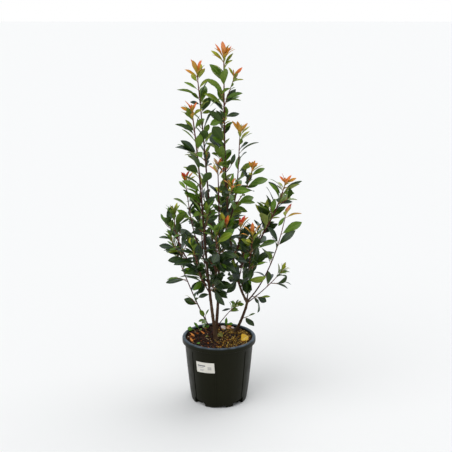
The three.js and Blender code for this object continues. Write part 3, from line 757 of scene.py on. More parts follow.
def smooth(piece, angle):
    alone(piece)
    bpy.ops.object.shade_smooth_by_angle(angle=math.radians(angle))


def tube(points, radii, sides):
    """Rings round a course, closed at both ends. Radii are one a ring or one a corner."""
    points = np.asarray(points, float)
    ways = ways_along(points)
    radii = np.asarray(radii, float)
    if radii.ndim == 1:
        radii = np.repeat(radii[:, None], sides, axis=1)
    turns = np.arange(sides) * 2 * math.pi / sides
    side = np.array([0.0, 1.0, 0.0])
    corners = []
    for point, way, ring in zip(points, ways, radii):
        side = unit(side - way * side.dot(way))
        round_about = np.outer(np.cos(turns), side) + np.outer(np.sin(turns), np.cross(way, side))
        corners.append(point + ring[:, None] * round_about)
    count = len(points)
    faces = []
    for i in range(count - 1):
        for j in range(sides):
            a, b = i * sides + j, i * sides + (j + 1) % sides
            faces.append((a, b, b + sides, a + sides))
    faces.append(tuple(range(sides - 1, -1, -1)))
    faces.append(tuple(range((count - 1) * sides, count * sides)))
    return np.concatenate(corners), faces


# Wood: stems, boughs and young stems with their relief

def fine_course(shoot):
    """Close rings along a shoot, and the ring where its limb ends and its leafy stem begins."""
    bare = shoot["bare_share"]
    length = shoot["length"]
    lower = max(1, math.ceil(bare * length / FINE_STEP)) if bare > 0 else 0
    upper = max(1, math.ceil((1 - bare) * length / FINE_STEP)) if bare < 1 else 0
    shares = np.concatenate([np.linspace(0, bare, lower + 1)[:-1], np.linspace(bare, 1, upper + 1)])
    return shoot["even"](shares), shares * length, lower


def relief(rng, lengths, sides, age):
    """How far each corner of a stem stands out, as a share of its thickness."""
    turns = np.arange(sides) * 2 * math.pi / sides
    s = lengths[:, None]
    flutes = sum(deep * np.sin(count * turns + rng.uniform(*PHASES) + s * twist)
                 for count, deep, twist in FLUTES)
    noise = np.array([[rng.uniform(-1, 1) for _ in range(sides)] for _ in lengths])
    noise = (noise + np.roll(noise, 1, axis=0) + np.roll(noise, -1, axis=0)) / 3
    return (flutes + ROUGH * noise) * (YOUNG_RELIEF + (1 - YOUNG_RELIEF) * age[:, None])


def nodes_along(rng, lengths, sides, gap):
    """The swellings and scars where leaves grew."""
    turns = np.arange(sides) * 2 * math.pi / sides
    swell = np.zeros((len(lengths), sides))
    at = rng.uniform(*NODE_FIRST) * gap
    turn = rng.uniform(*PHASES)
    while at < lengths[-1]:
        ring = np.exp(-((lengths - at) / NODE_LENGTH) ** 2)[:, None]
        swell += ring * NODE_SWELL * (NODE_ROUND + NODE_BUD * np.clip(np.cos(turns - turn), 0, 1) ** 2)
        turn += math.radians(GOLDEN_TURN)
        at += gap * rng.uniform(*LEAF_SPACINGS)
    return swell


def collar(lengths, fade):
    """The swelling where a bough or twig leaves what carries it."""
    return (1 + BOUGH_COLLAR * np.exp(-lengths / fade))[:, None]


def shoot_skin(shoot, rng):
    """The rings of a whole shoot: centre line, radius at each corner and age."""
    points, lengths, split = fine_course(shoot)
    share = lengths / shoot["length"]
    taper = shoot.get("taper", TAPER if "origin" in shoot else STEM_TAPER)
    radii = (shoot["thick"] + (shoot["thin"] - shoot["thick"]) * share ** taper) / 2
    to_tip = shoot["length"] - lengths
    if not has_leaves(shoot):
        to_tip = to_tip + OLD_WOOD
    age = np.clip(to_tip / OLD_WOOD, 0, 1)
    sides = STEM_RING if shoot["thick"] > STEM_FROM else SHOOT_RING
    ring = 1 + relief(rng, lengths, sides, age) + nodes_along(rng, lengths, sides, shoot["gap"] * NODE_GAP)
    if "origin" in shoot:
        ring = ring * collar(lengths, COLLAR_LENGTH)
    else:
        turns = np.arange(sides) * 2 * math.pi / sides
        lobes = FLARE_LEVEL + FLARE_WAVE * np.cos(FLARE_LOBES * turns + rng.uniform(*PHASES))
        ring = ring * (1 + lobes * FLARE * np.exp(-lengths / FLARE_LENGTH)[:, None])
        foot = points[0] - np.array([0, 0, SOIL_SINK])
        points = np.concatenate([[foot], points])
        radii = np.concatenate([radii[:1], radii])
        ring = np.concatenate([ring[:1], ring])
        age = np.concatenate([[1], age])
        split += 1 if split else 0
    return points, radii[:, None] * ring, age, sides, split


def add_rings(heap, points, radii, age, sides):
    corners, faces = tube(points, radii, sides)
    heap.add(corners, faces, value=np.repeat(age, sides))


def bent_course(corners, steps):
    """A side twig's course, smoothed at its knee."""
    t = np.linspace(0, 1, steps + 1)[:, None]
    knee = corners[1] + KNEE_BEND * (corners[1] - (corners[0] + corners[2]) / 2)
    return (1 - t) ** 2 * corners[0] + 2 * (1 - t) * t * knee + t ** 2 * corners[2]


def add_twig(heap, rng, corners, thick, thin):
    course = bent_course(corners, max(TWIG_LEAST_STEPS, int(length_of(corners) / TWIG_STEP)))
    share = np.linspace(0, 1, len(course))
    along = share * length_of(course)
    ring = 1 + TWIG_RELIEF * relief(rng, along, TWIG_RING, share * 0)
    ring = ring + nodes_along(rng, along, TWIG_RING, TWIG_NODES)
    ring = ring * collar(along, TWIG_COLLAR_LENGTH)
    radii = ring * ((thick + (thin - thick) * share) / 2)[:, None]
    add_rings(heap, course, radii, TWIG_AGE * (1 - share), TWIG_RING)


def grow_wood(shoots, masses):
    """Fills two heaps: stems and boughs with old bark, and the young stems that carry leaves."""
    old = Heap()
    young = Heap()
    rng = random.Random(WOOD_SEED)
    for shoot in shoots:
        points, radii, age, sides, split = shoot_skin(shoot, rng)
        if has_limb(shoot):
            add_rings(old, points[:split + 1], radii[:split + 1], age[:split + 1], sides)
        if has_leaves(shoot):
            add_rings(young, points[split:], radii[split:], age[split:], sides)
            for twig, thick, thin in masses[shoot["name"]][1]:
                add_twig(young, rng, twig, thick, thin)
    return old, young


# Leaves

def blade_faces():
    """The faces of a blade: the top, and an underside that shares the top's edge."""
    columns = len(BLADE_COLUMNS)
    rows = len(BLADE_ROWS)
    stride = columns + 1
    tip = 1 + rows * stride

    def top(i, j):
        return 1 + i * stride + j

    def under(i, j):
        return {0: top(i, 0), 1: 1 + i * stride + columns, 2: top(i, columns - 1)}[j]

    faces = [(0, top(0, j), top(0, j + 1)) for j in range(columns - 1)]
    for i in range(rows - 1):
        faces += [(top(i, j), top(i + 1, j), top(i + 1, j + 1), top(i, j + 1)) for j in range(columns - 1)]
    faces += [(top(rows - 1, j), tip, top(rows - 1, j + 1)) for j in range(columns - 1)]
    tops = len(faces)
    faces += [(0, under(0, j + 1), under(0, j)) for j in range(2)]
    for i in range(rows - 1):
        faces += [(under(i, j), under(i, j + 1), under(i + 1, j + 1), under(i + 1, j)) for j in range(2)]
    faces += [(under(rows - 1, j), under(rows - 1, j + 1), tip) for j in range(2)]
    return faces, [0] * tops + [1] * (len(faces) - tops)


BLADE_FACES, BLADE_SLOTS = blade_faces()


def arc_of(size, droop, lift):
    """The arched midrib of a leaf, which ends where the solid leaf's tip is."""
    out = size * (LEAF_MIDDLE + (1 - LEAF_MIDDLE) * math.cos(droop))
    down = size * (1 - LEAF_MIDDLE) * math.sin(droop)
    slope = math.atan2(down, out)
    bend = 2 * (slope + lift)
    radius = math.hypot(out, down) / (2 * math.sin(bend / 2))

    def at(share):
        angle = lift - bend * np.asarray(share)
        return radius * (math.sin(lift) - np.sin(angle)), radius * (np.cos(angle) - math.cos(lift)), angle

    return at


def add_leaf(blades, stalks, grown, rng, slender=BLADE_SLENDER, redness=STALK_RED):
    """One leaf: its arched blade in the blades' heap, and its stalk in the stalks' heap."""
    along, across, up = grown["axes"]
    size = grown["size"]
    at = arc_of(size, grown["droop"], math.radians(rng.uniform(*BLADE_LIFTS)))
    fold = math.radians(rng.uniform(*BLADE_FOLDS))
    curl = rng.uniform(*BLADE_CURLS)
    wave = rng.uniform(*BLADE_WAVES)
    phase = rng.uniform(*PHASES)
    twist = math.radians(rng.uniform(*BLADE_TWISTS))
    stalk = min(PETIOLE * size, PETIOLE_LONGEST) / size
    half = size * slender / 2 * rng.uniform(*BLADE_WIDTHS)

    def placed(share, side, lift):
        x, z, angle = at(share)
        turn = twist * (share - TWIST_FROM)
        level = side * math.cos(turn) - lift * math.sin(turn)
        raised = side * math.sin(turn) + lift * math.cos(turn)
        out = x - raised * math.sin(angle)
        high = z + raised * math.cos(angle)
        return grown["point"] + along * out + up * high + across * level

    corners = [placed(stalk, 0, 0)]
    across_map = [(0.5, 0)]
    for share, wide in BLADE_ROWS:
        row = stalk + (1 - stalk) * share
        for column in BLADE_COLUMNS:
            side = column * half * wide
            lift = abs(side) * math.sin(fold) - curl * side * side / half
            lift += wave * half * column * abs(column) * math.sin(BLADE_RIPPLES * share + phase + column)
            corners.append(placed(row, side * math.cos(fold), lift))
            across_map.append((0.5 + column / 2, share))
        corners.append(placed(row, 0, -BLADE_THICK - MIDRIB_DEPTH * (1 - share)))
        across_map.append((0.5, share))
    corners.append(placed(1.0, 0, 0))
    across_map.append((0.5, 1))
    blades.add(corners, BLADE_FACES, BLADE_SLOTS, rng.random(), np.array(across_map))

    thick = STALK_THICK + STALK_GROWTH * size
    shares = (0.0, stalk / 2, stalk, stalk + STALK_UNDER_BLADE)
    course = [placed(share, 0, -STALK_SUNK * thick) for share in shares]
    stalk_corners, stalk_faces = tube(course, thick * np.array(STALK_RADII), STALK_RING)
    stalks.add(stalk_corners, stalk_faces, value=redness)


def add_bud(heap, grown, rng):
    """The small pointed bud in the corner between a leaf and its stem."""
    along, _, up = grown["axes"]
    course = [grown["point"] + along * out + up * high for out, high in BUD_COURSE]
    corners, faces = tube(course, BUD_RADII, STALK_RING)
    heap.add(corners, faces, value=rng.random())


# Which kind of leaf each one is, by its place on the plant and by its seed

KINDS = ("dark", "green", "bright", "olive", "young", "bronze", "coral", "red", "pale")

# The kinds at each sort of tip, for its outer, middle and inner young leaves
FLUSHES = {
    "coral": (("young", "bronze"), ("bronze", "coral"), ("coral", "coral")),
    "red": (("bronze", "young"), ("coral", "red"), ("red", "red")),
    "bronze": (("olive", "young"), ("bronze", "young"), ("bronze", "coral")),
    "pale": (("young", "coral"), ("coral", "pale"), ("pale", "pale")),
    "green": (("green", "olive"), ("olive", "young"), ("young", "young")),
    "leafy": (("dark", "green"), ("green", "green"), ("green", "olive")),
}
MIDDLE_RANK = 0.35
INNER_RANK = 0.75

# The share of grown leaves that are dark, up to each height, as painted shade low in the plant and
# painted light high up; and the heart, where side twigs get painted shade. A leaf of less than the
# young age stands so near the tip that it is still light in colour.
SHADED_SHARES = ((470, 0.94), (640, 0.82), (960, 0.5), (1090, 0.34), (math.inf, 0.16))
HEART_TOP = 640
YOUNG_AGE = 0.18


def kind_of(grown, shoot, rng):
    rank = grown["rank"]
    if rank is not None:
        flush = FLUSHES["leafy" if grown["side_twig"] else shoot["flush"]]
        return rng.choice(flush[(rank >= MIDDLE_RANK) + (rank >= INNER_RANK)])
    if "tone" in shoot:
        return rng.choice(shoot["tone"])
    # Painted shade and light: the dark kind is dealt out more often the lower the leaf is
    height = grown["point"][2]
    shaded = next(share for below, share in SHADED_SHARES if height < below)
    # Painted shade: side twigs in the heart keep no light young leaves
    heart = grown["side_twig"] and height < HEART_TOP
    if grown["age"] < YOUNG_AGE and not heart:
        return rng.choice(("young", "olive", "bright", "green"))
    draw = rng.random()
    if draw < shaded:
        return "dark"
    return "green" if draw < 1 - (1 - shaded) / 2 else rng.choice(("bright", "olive", "olive"))


def add_laid_leaf(heap, stalks, rng, foot, tip, wide, roll, droop, redness=STALK_RED):
    """A leaf between two places, which lies with its top up."""
    foot, tip = np.array(foot, float), np.array(tip, float)
    along = unit(tip - foot)
    up = unit(np.array([0, 0, 1.0]) - along * along[2])
    up = about(up, along, math.radians(roll))
    size = np.linalg.norm(tip - foot)
    grown = leaf(foot, (along, np.cross(up, along), up), size, math.radians(droop), None, 1)
    add_leaf(heap, stalks, grown, rng, wide / size, redness)


# Single leaves that stand out in the view: the shoot, where on it the leaf's foot is, the way to the
# leaf's tip, its width, roll and droop, and its kind. A place up to 1 is a share of the shoot's length,
# and any other is a height above the floor.
SINGLE_LEAVES = (
    ("leader", 1280, (-42, -8, 46), 16, -60, 22, "young"),
    ("leader", 1290, (-27, -8, 58), 11, -60, 14, "coral"),
    ("leader", 1286, (-5, -12, 62), 17, -70, 14, "bronze"),
    ("leader", 1290, (24, -5, 50), 11, 60, 14, "coral"),
    ("leader", 1282, (15, -12, 48), 18, 70, 14, "bronze"),
    ("leader", 1268, (30, -5, 46), 13, 60, 14, "olive"),
    ("leader", 1272, (30, -8, 20), 10, 50, 18, "bright"),
    ("leader", 1278, (2, -16, 34), 15, -70, 14, "young"),
    ("leader", 1221, (-46, -10, 59), 25, -60, 22, "green"),
    ("leader", 1147, (64, -10, 31), 23, 55, 24, "green"),
    ("leader", 1130, (-21, 15, 61), 25, -60, 16, "green"),
    ("leader", 1129, (41, 10, 59), 25, 60, 20, "dark"),
    ("leader", 1112, (-58, 5, 60), 25, -55, 26, "green"),
    ("leader", 1101, (-36, -20, 54), 27, -50, 24, "dark"),
    ("leader", 1086, (57, 10, 18), 23, 50, 24, "dark"),
    ("leader", 1078, (-53, -15, -16), 26, -60, 30, "green"),
    ("top_side", 1.0, (28, -5, 38), 14, 60, 14, "coral"),
    ("top_side", 1.0, (-17, -5, 38), 13, -60, 14, "young"),
    ("top_side", 0.95, (14, -10, 34), 13, 60, 14, "bronze"),
    ("tall_left", 1222, (-41, -10, 36), 12, -60, 28, "bronze"),
    ("tall_left", 1228, (-19, -8, 62), 13, -70, 12, "coral"),
    ("tall_left", 1228, (14, -8, 60), 12, 70, 12, "coral"),
    ("tall_left", 1222, (25, -5, 36), 13, 65, 16, "bronze"),
    ("tall_left", 1184, (36, -8, 42), 10, 60, 26, "olive"),
    ("tall_left", 1143, (-30, -8, 31), 17, -60, 20, "green"),
    ("tall_left", 1128, (-36, -8, 14), 15, -60, 30, "dark"),
    ("tall_left", 1132, (36, -8, 24), 13, 60, 20, "olive"),
    ("tall_left", 1095, (36, -10, 12), 17, 60, 20, "olive"),
    ("left_stem", 1.0, (-40, -8, 27), 13, -60, 20, "bronze"),
    ("left_stem", 1.0, (-12, -8, 36), 12, -60, 12, "coral"),
    ("left_stem", 1.0, (14, -8, 42), 13, 60, 12, "coral"),
    ("left_stem", 1085, (-28, -10, 25), 17, -60, 20, "olive"),
    ("left_stem", 1040, (-43, -5, 23), 22, -60, 24, "dark"),
    ("left_stem", 955, (-56, -5, 56), 26, -60, 24, "dark"),
    ("upper_right", 1.0, (-26, -5, 50), 13, -60, 16, "bronze"),
    ("upper_right", 1.0, (25, -5, 42), 13, 60, 16, "bronze"),
    ("right_tip", 1.0, (-10, -5, 32), 13, -60, 12, "bronze"),
    ("right_tip", 1.0, (20, -5, 26), 16, 60, 12, "bronze"),
    ("right_tip", 822, (48, -5, 27), 25, 55, 24, "green"),
    ("right_tip", 826, (16, -5, 60), 27, 60, 16, "dark"),
    ("centre_stem", 1.0, (-13, -8, 44), 17, -70, 10, "pale"),
    ("centre_stem", 1.0, (10, -8, 34), 12, 60, 14, "bronze"),
    ("outer_right", 1.0, (-19, -5, 30), 12, -60, 14, "coral"),
    ("outer_right", 1.0, (20, -8, 34), 13, 60, 14, "coral"),
    ("outer_right", 1.0, (40, -5, 24), 13, 60, 20, "bronze"),
    ("outer_right", 800, (-45, -5, 55), 22, -60, 24, "dark"),
    ("outer_right", 805, (46, -5, 6), 20, 50, 22, "green"),
    ("outer_right", 765, (56, 5, 12), 19, 50, 22, "dark"),
    # Dark leaves that fill the heart, their dark kind partly painted shade
    ("centre_stem", 520, (44, -20, 40), 26, 60, 22, "dark"),
    ("centre_stem", 548, (-42, -20, 34), 26, -60, 24, "dark"),
    ("centre_stem", 500, (-48, -15, 20), 27, -55, 28, "dark"),
    ("centre_stem", 575, (38, -20, 48), 25, 60, 20, "dark"),
    ("centre_stem", 455, (-40, -25, -10), 25, -50, 30, "dark"),
    ("leader", 540, (-50, -25, 30), 27, -60, 24, "dark"),
    ("leader", 505, (-46, -25, 12), 26, -55, 28, "dark"),
    ("leader", 585, (-44, -20, 40), 26, -60, 22, "dark"),
    ("leader", 470, (36, -25, -22), 24, 50, 30, "dark"),
    ("leader", 455, (-40, -20, 24), 25, -55, 26, "dark"),
    ("left_stem", 470, (34, -20, 36), 26, 60, 22, "dark"),
    ("left_stem", 455, (-46, -15, 22), 26, -60, 26, "dark"),
    ("left_stem", 500, (-44, -15, 36), 26, -60, 22, "dark"),
    ("left_stem", 540, (40, -15, 38), 26, 60, 22, "dark"),
    ("left_stem", 420, (-44, -12, -4), 22, -40, 24, "dark"),
    ("inner_left", 700, (-50, -8, 41), 22, -60, 26, "bright"),
    ("inner_left", 702, (40, -8, 33), 20, 60, 24, "bright"),
    ("inner_left", 720, (22, -8, 38), 18, 60, 20, "green"),
    ("inner_left", 1.0, (36, -8, -26), 15, 50, 16, "bright"),
    ("inner_left", 1.0, (-16, -8, 34), 13, -60, 12, "red"),
    ("inner_left", 1.0, (7, -10, 38), 13, 70, 12, "red"),
    ("near_right", 540, (32, -10, 26), 19, 60, 16, "bright"),
    ("front_right", 607, (60, -15, 69), 29, 60, 20, "dark"),
    ("front_right", 615, (-34, -10, 73), 27, -60, 20, "dark"),
    ("front_right", 563, (-19, -8, -4), 11, -60, 14, "bright"),
    ("front_right", 724, (-27, -10, -36), 16, -60, 18, "bright"),
    ("outer_stem", 446, (-88, -10, -2), 25, -50, 34, "dark"),
    ("outer_left", 596, (-60, -10, 2), 11, -40, 20, "olive"),
    ("outer_left", 616, (-42, -10, -8), 16, -50, 24, "green"),
    ("outer_stem", 345, (-53, -10, 27), 29, -75, 22, "dark"),
    ("outer_stem", 289, (-16, -10, 36), 20, -80, 14, "bright"),
    ("outer_stem", 286, (-26, -8, -6), 12, -50, 20, "green"),
    ("fork_side", 0.6, (38, -12, -15), 25, 60, 24, "dark"),
    ("fork_side", 0.3, (20, -14, -24), 14, 50, 20, "dark"),
    ("foot_right", 0.7, (32, -14, -33), 20, 60, 20, "dark"),
    ("low_stem", 1.0, (-23, -8, 17), 13, -60, 14, "bright"),
    ("low_stem", 1.0, (28, -8, 6), 14, 60, 16, "bright"),
    ("low_stem", 1.0, (6, -10, 25), 13, 60, 12, "bright"),
    ("low_stem", 0.96, (-8, -12, -17), 13, -60, 14, "bright"),
    ("low_stem", 0.85, (-42, -8, -2), 14, -30, 24, "dark"),
)


def add_single_leaves(shoots, heaps, stalks, rng):
    for name, where, way, wide, roll, droop, kind in SINGLE_LEAVES:
        course = fine_course(shoots[name])[0]
        if where > 1:
            foot = course[np.abs(course[:, 2] - where).argmin()]
        else:
            foot = course[round(where * (len(course) - 1))]
        add_laid_leaf(heaps[kind], stalks, rng, foot, foot + np.array(way), wide, roll, droop)


def keep_in_reach(grown):
    """Shortens a leaf until its tip is within the plant's reach."""
    low = np.array(cad_low) / MM - REACH_MARGIN
    high = np.array(cad_high) / MM + REACH_MARGIN
    for _ in range(REACH_TRIES):
        tip = leaf_reach(grown["point"], grown["axes"], grown["size"], grown["droop"])[0]
        if (tip > low).all() and (tip < high).all():
            return
        grown["size"] *= REACH_SHRINK


def grow_leaves(shoots, masses):
    """Fills a heap for the leaves of each kind, one for their stalks and one for the buds."""
    heaps = {kind: Heap() for kind in KINDS}
    stalks = Heap()
    buds = Heap()
    rng = random.Random(LEAF_SEED)
    for shoot in filter(has_leaves, shoots):
        course = fine_course(shoot)[0]
        for grown in masses[shoot["name"]][0]:
            kind = kind_of(grown, shoot, rng)
            near = np.linalg.norm(course - grown["point"], axis=1)
            if near.min() < BARK_REACH:
                grown["point"] = course[near.argmin()]
            if grown["rank"] is None:
                add_bud(buds, grown, rng)
            if grown["age"] > YOUNG_AGE:
                if shoot["leaf"] > FULLER_FROM:
                    grown["size"] *= FULLER
                keep_in_reach(grown)
                add_leaf(heaps[kind], stalks, grown, rng)
            else:
                if grown["rank"] is not None:
                    grown["size"] *= shoot["crown"]
                add_leaf(heaps[kind], stalks, grown, rng, BLADE_SLENDER * YOUNG_SLENDER)
    add_single_leaves({shoot["name"]: shoot for shoot in shoots}, heaps, stalks, rng)
    return heaps, stalks, buds


# Materials

def colour(red, green, blue):
    """A colour from the red, green and blue of a screen, 0 to 255."""
    def linear(level):
        share = level / 255
        return share / 12.92 if share <= 0.04045 else ((share + 0.055) / 1.055) ** 2.4
    return (linear(red), linear(green), linear(blue), 1.0)


def node(tree, kind, values=(), **settings):
    """A node of a kind, with its settings, and with numbers or links for its inputs."""
    made = tree.nodes.new("ShaderNode" + kind)
    for name, value in settings.items():
        setattr(made, name, value)
    for name, value in dict(values).items():
        if isinstance(value, bpy.types.NodeSocket):
            tree.links.new(value, made.inputs[name])
        else:
            made.inputs[name].default_value = value
    return made


def blend_of(tree, mask, first, second, way="MIX"):
    """Two colours mixed. A Mix node's colours are its inputs 6 and 7 and its output 2."""
    mixed = {0: mask, 6: first, 7: second}
    return node(tree, "Mix", mixed, data_type="RGBA", blend_type=way).outputs[2]


def darkened(tree, skin, level):
    """A colour times a number."""
    grey = node(tree, "CombineColor", {0: level, 1: level, 2: level}).outputs[0]
    return blend_of(tree, 1.0, skin, grey, "MULTIPLY")


def maths(tree, way, first, second=0.0):
    return node(tree, "Math", {0: first, 1: second}, operation=way).outputs[0]


def times(tree, first, second):
    return maths(tree, "MULTIPLY", first, second)


def ranged(tree, value, start, end, low, high):
    """A number that goes from low to high while another goes from start to end."""
    return node(tree, "MapRange", {0: value, 1: start, 2: end, 3: low, 4: high}).outputs[0]


def object_place(tree):
    return node(tree, "TexCoord").outputs["Object"]


def parts_of(tree, vector):
    return node(tree, "SeparateXYZ", {0: vector}).outputs


def carried(tree, name):
    """A number that the mesh carries at its corners."""
    return node(tree, "Attribute", attribute_name=name).outputs["Fac"]


def ramp(tree, factor, stops):
    """A colour that changes through stops, each a place and a colour of a screen."""
    made = node(tree, "ValToRGB", {"Fac": factor})
    elements = made.color_ramp.elements
    while len(elements) < len(stops):
        elements.new(0.5)
    for element, (place, shade) in zip(elements, stops):
        element.position = place
        element.color = colour(*shade)
    return made.outputs["Color"]


def group(name, inputs, outputs):
    """An empty group with named sockets."""
    tree = bpy.data.node_groups.new(name, "ShaderNodeTree")
    for title, kind, value in inputs:
        socket = tree.interface.new_socket(title, in_out="INPUT", socket_type=kind)
        socket.default_value = value
    for title, kind in outputs:
        tree.interface.new_socket(title, in_out="OUTPUT", socket_type=kind)
    return tree, tree.nodes.new("NodeGroupInput").outputs, tree.nodes.new("NodeGroupOutput").inputs


COLOUR = "NodeSocketColor"
NUMBER = "NodeSocketFloat"
GREY = (0.5, 0.5, 0.5, 1.0)
WHITE = (1.0, 1.0, 1.0, 1.0)
WARM = (1.0, 1.0, 0.72, 1.0)
WARM_BLACK = (1.0, 0.96, 0.74, 1.0)
VEIN_PAIRS = 10.0
VEIN_SLANT = 1.7


def grain_group():
    """Fine unevenness of a surface, in three dimensions."""
    tree, given, out = group("surface_grain", [("Scale", NUMBER, 400.0), ("Stretch", NUMBER, 1.0)],
                             [("Height", NUMBER), ("Patches", NUMBER)])
    place = object_place(tree)
    parts = parts_of(tree, place)
    long_way = maths(tree, "DIVIDE", parts[2], given["Stretch"])
    stretched = node(tree, "CombineXYZ", {0: parts[0], 1: parts[1], 2: long_way}).outputs[0]
    fine = node(tree, "TexNoise", {"Vector": stretched, "Scale": given["Scale"], "Detail": 3.0})
    broad = node(tree, "TexNoise", {"Vector": place, "Scale": 22.0, "Detail": 2.0})
    tree.links.new(fine.outputs["Fac"], out["Height"])
    tree.links.new(broad.outputs["Fac"], out["Patches"])
    return tree


def grain_of(tree, scale, stretch=1.0):
    return node(tree, "Group", {"Scale": scale, "Stretch": stretch}, node_tree=GRAIN).outputs


def leaf_group():
    """The midrib and veins of a leaf, and the tints that differ from leaf to leaf."""
    colours = [(title, COLOUR, GREY) for title in ("Blade", "Second", "Midrib", "Edge", "Foot")]
    shares = [("Foot share", NUMBER, 0.0), ("Veins", NUMBER, 0.3)]
    tree, given, out = group("leaf_skin", colours + shares, [("Color", COLOUR), ("Height", NUMBER)])
    parts = parts_of(tree, node(tree, "UVMap", uv_map="blade").outputs["UV"])
    side = times(tree, maths(tree, "ABSOLUTE", maths(tree, "SUBTRACT", parts[0], 0.5)), 2.0)
    blade = blend_of(tree, carried(tree, "shade"), given["Blade"], given["Second"])
    near_foot = ranged(tree, parts[1], 0.1, 0.7, 1.0, 0.0)
    base = blend_of(tree, times(tree, near_foot, given["Foot share"]), blade, given["Foot"])
    slanted = maths(tree, "SUBTRACT", times(tree, parts[1], VEIN_PAIRS), times(tree, side, VEIN_SLANT))
    waves = maths(tree, "SINE", times(tree, slanted, 2 * math.pi))
    vein = maths(tree, "POWER", maths(tree, "MAXIMUM", waves, 0.0), 6.0)
    veined = blend_of(tree, times(tree, vein, given["Veins"]), base, given["Midrib"])
    rib = ranged(tree, side, 0.03, 0.10, 0.85, 0.0)
    ribbed = blend_of(tree, rib, veined, given["Midrib"])
    rim = ranged(tree, side, 0.86, 1.0, 0.0, 0.6)
    tree.links.new(blend_of(tree, rim, ribbed, given["Edge"]), out["Color"])
    height = maths(tree, "SUBTRACT", 0.0, maths(tree, "ADD", vein, times(tree, rib, 2.0)))
    tree.links.new(height, out["Height"])
    return tree


def sky_sheen_group():
    """A painted bluish sky reflection on the faces that look up, in patches, mixed into the base colour."""
    tree, given, out = group(
        "painted_sky_sheen",
        [("Color", COLOUR, GREY), ("Painted sheen", COLOUR, GREY), ("Amount", NUMBER, 0.3)],
        [("Color", COLOUR)])
    facing = parts_of(tree, node(tree, "NewGeometry").outputs["Normal"])[2]
    patches = node(tree, "TexNoise", {"Vector": object_place(tree), "Scale": 35.0, "Detail": 4.0})
    # Painted sky reflection: strongest where the surface faces straight up
    up = ranged(tree, facing, 0.05, 0.9, 0.0, 1.0)
    uneven = ranged(tree, patches.outputs["Fac"], 0.35, 0.7, 0.25, 1.0)
    mask = times(tree, times(tree, up, uneven), given["Amount"])
    tree.links.new(blend_of(tree, mask, given["Color"], given["Painted sheen"]), out["Color"])
    return tree


GRAIN = grain_group()
LEAF_SKIN = leaf_group()
RIM_SKY_SHEEN = sky_sheen_group()


def material(name, roughness, specular=0.5, tint=WHITE):
    """A new material, its tree, and its shader with these constants."""
    made = bpy.data.materials.new(name)
    made.use_nodes = True
    shader = made.node_tree.nodes["Principled BSDF"]
    shader.inputs["Roughness"].default_value = roughness
    shader.inputs["Specular IOR Level"].default_value = specular
    shader.inputs["Specular Tint"].default_value = tint
    return made, made.node_tree, shader


def bump(tree, shader, height, distance, strength):
    made = node(tree, "Bump", {"Height": height, "Distance": distance, "Strength": strength})
    tree.links.new(made.outputs["Normal"], shader.inputs["Normal"])


def leaf_material(name, colours, veins, roughness, coat=0.0, foot=None, tint=WHITE):
    """A leaf's finish from its blade, second tint, midrib and edge, and its foot's colour if it has one."""
    made, tree, shader = material(name, roughness, specular=0.3, tint=tint)
    skin = node(tree, "Group", node_tree=LEAF_SKIN)
    for title, value in zip(("Blade", "Second", "Midrib", "Edge"), colours):
        skin.inputs[title].default_value = colour(*value)
    if foot:
        skin.inputs["Foot"].default_value = colour(*foot)
        skin.inputs["Foot share"].default_value = FOOT_SHARE
    skin.inputs["Veins"].default_value = veins
    tree.links.new(skin.outputs["Color"], shader.inputs["Base Color"])
    shader.inputs["Coat Weight"].default_value = coat
    shader.inputs["Coat Roughness"].default_value = COAT_ROUGHNESS
    bump(tree, shader, skin.outputs["Height"], distance=0.0002, strength=0.5)
    return made


# For each kind: blade, second tint, midrib, edge, and the same leaf's underside
LEAF_COLOURS = {
    # The dark kind is a dark green leaf, its colours made darker still as painted shade
    "dark": ((18, 38, 8), (42, 62, 14), (76, 100, 34), (32, 46, 14), (58, 80, 28)),
    "green": ((60, 94, 14), (90, 124, 20), (124, 150, 52), (62, 92, 20), (102, 128, 42)),
    "bright": ((82, 122, 12), (108, 142, 20), (150, 172, 70), (88, 112, 26), (112, 138, 50)),
    "olive": ((96, 122, 26), (124, 142, 32), (160, 166, 74), (110, 116, 34), (132, 146, 66)),
    "young": ((150, 162, 36), (176, 174, 42), (200, 190, 80), (180, 132, 50), (160, 166, 70)),
    "bronze": ((206, 136, 40), (222, 148, 50), (226, 178, 84), (214, 96, 44), (208, 154, 72)),
    "coral": ((236, 108, 52), (244, 132, 66), (244, 168, 104), (226, 74, 50), (238, 150, 96)),
    "red": ((204, 48, 40), (226, 74, 50), (230, 118, 84), (186, 34, 42), (214, 96, 74)),
    "pale": ((248, 212, 168), (242, 186, 128), (250, 224, 186), (244, 156, 96), (248, 216, 180)),
}
FOOT_COLOURS = {
    "young": (124, 152, 32),
    "bronze": (148, 160, 38),
    "coral": (190, 154, 50),
    "red": (220, 124, 58),
}
FOOT_SHARE = 0.8
COAT_ROUGHNESS = 0.2
GROWN_KINDS = ("dark", "green", "bright", "olive")

# How strong the veins are, roughness and coat
GROWN_FINISH = (0.16, 0.36, 0.08)
YOUNG_FINISH = (0.22, 0.45, 0.0)


def leaf_materials(kind):
    *colours, under = LEAF_COLOURS[kind]
    foot = FOOT_COLOURS.get(kind)
    tint = WHITE if kind == "dark" else WARM
    veins, roughness, coat = GROWN_FINISH if kind in GROWN_KINDS else YOUNG_FINISH
    under_colours = (under, under, *colours[2:])
    return [
        leaf_material("leaf_" + kind, colours, veins, roughness, coat, foot, tint),
        leaf_material("leaf_" + kind + "_underside", under_colours, veins=0.3, roughness=0.6, foot=foot),
    ]


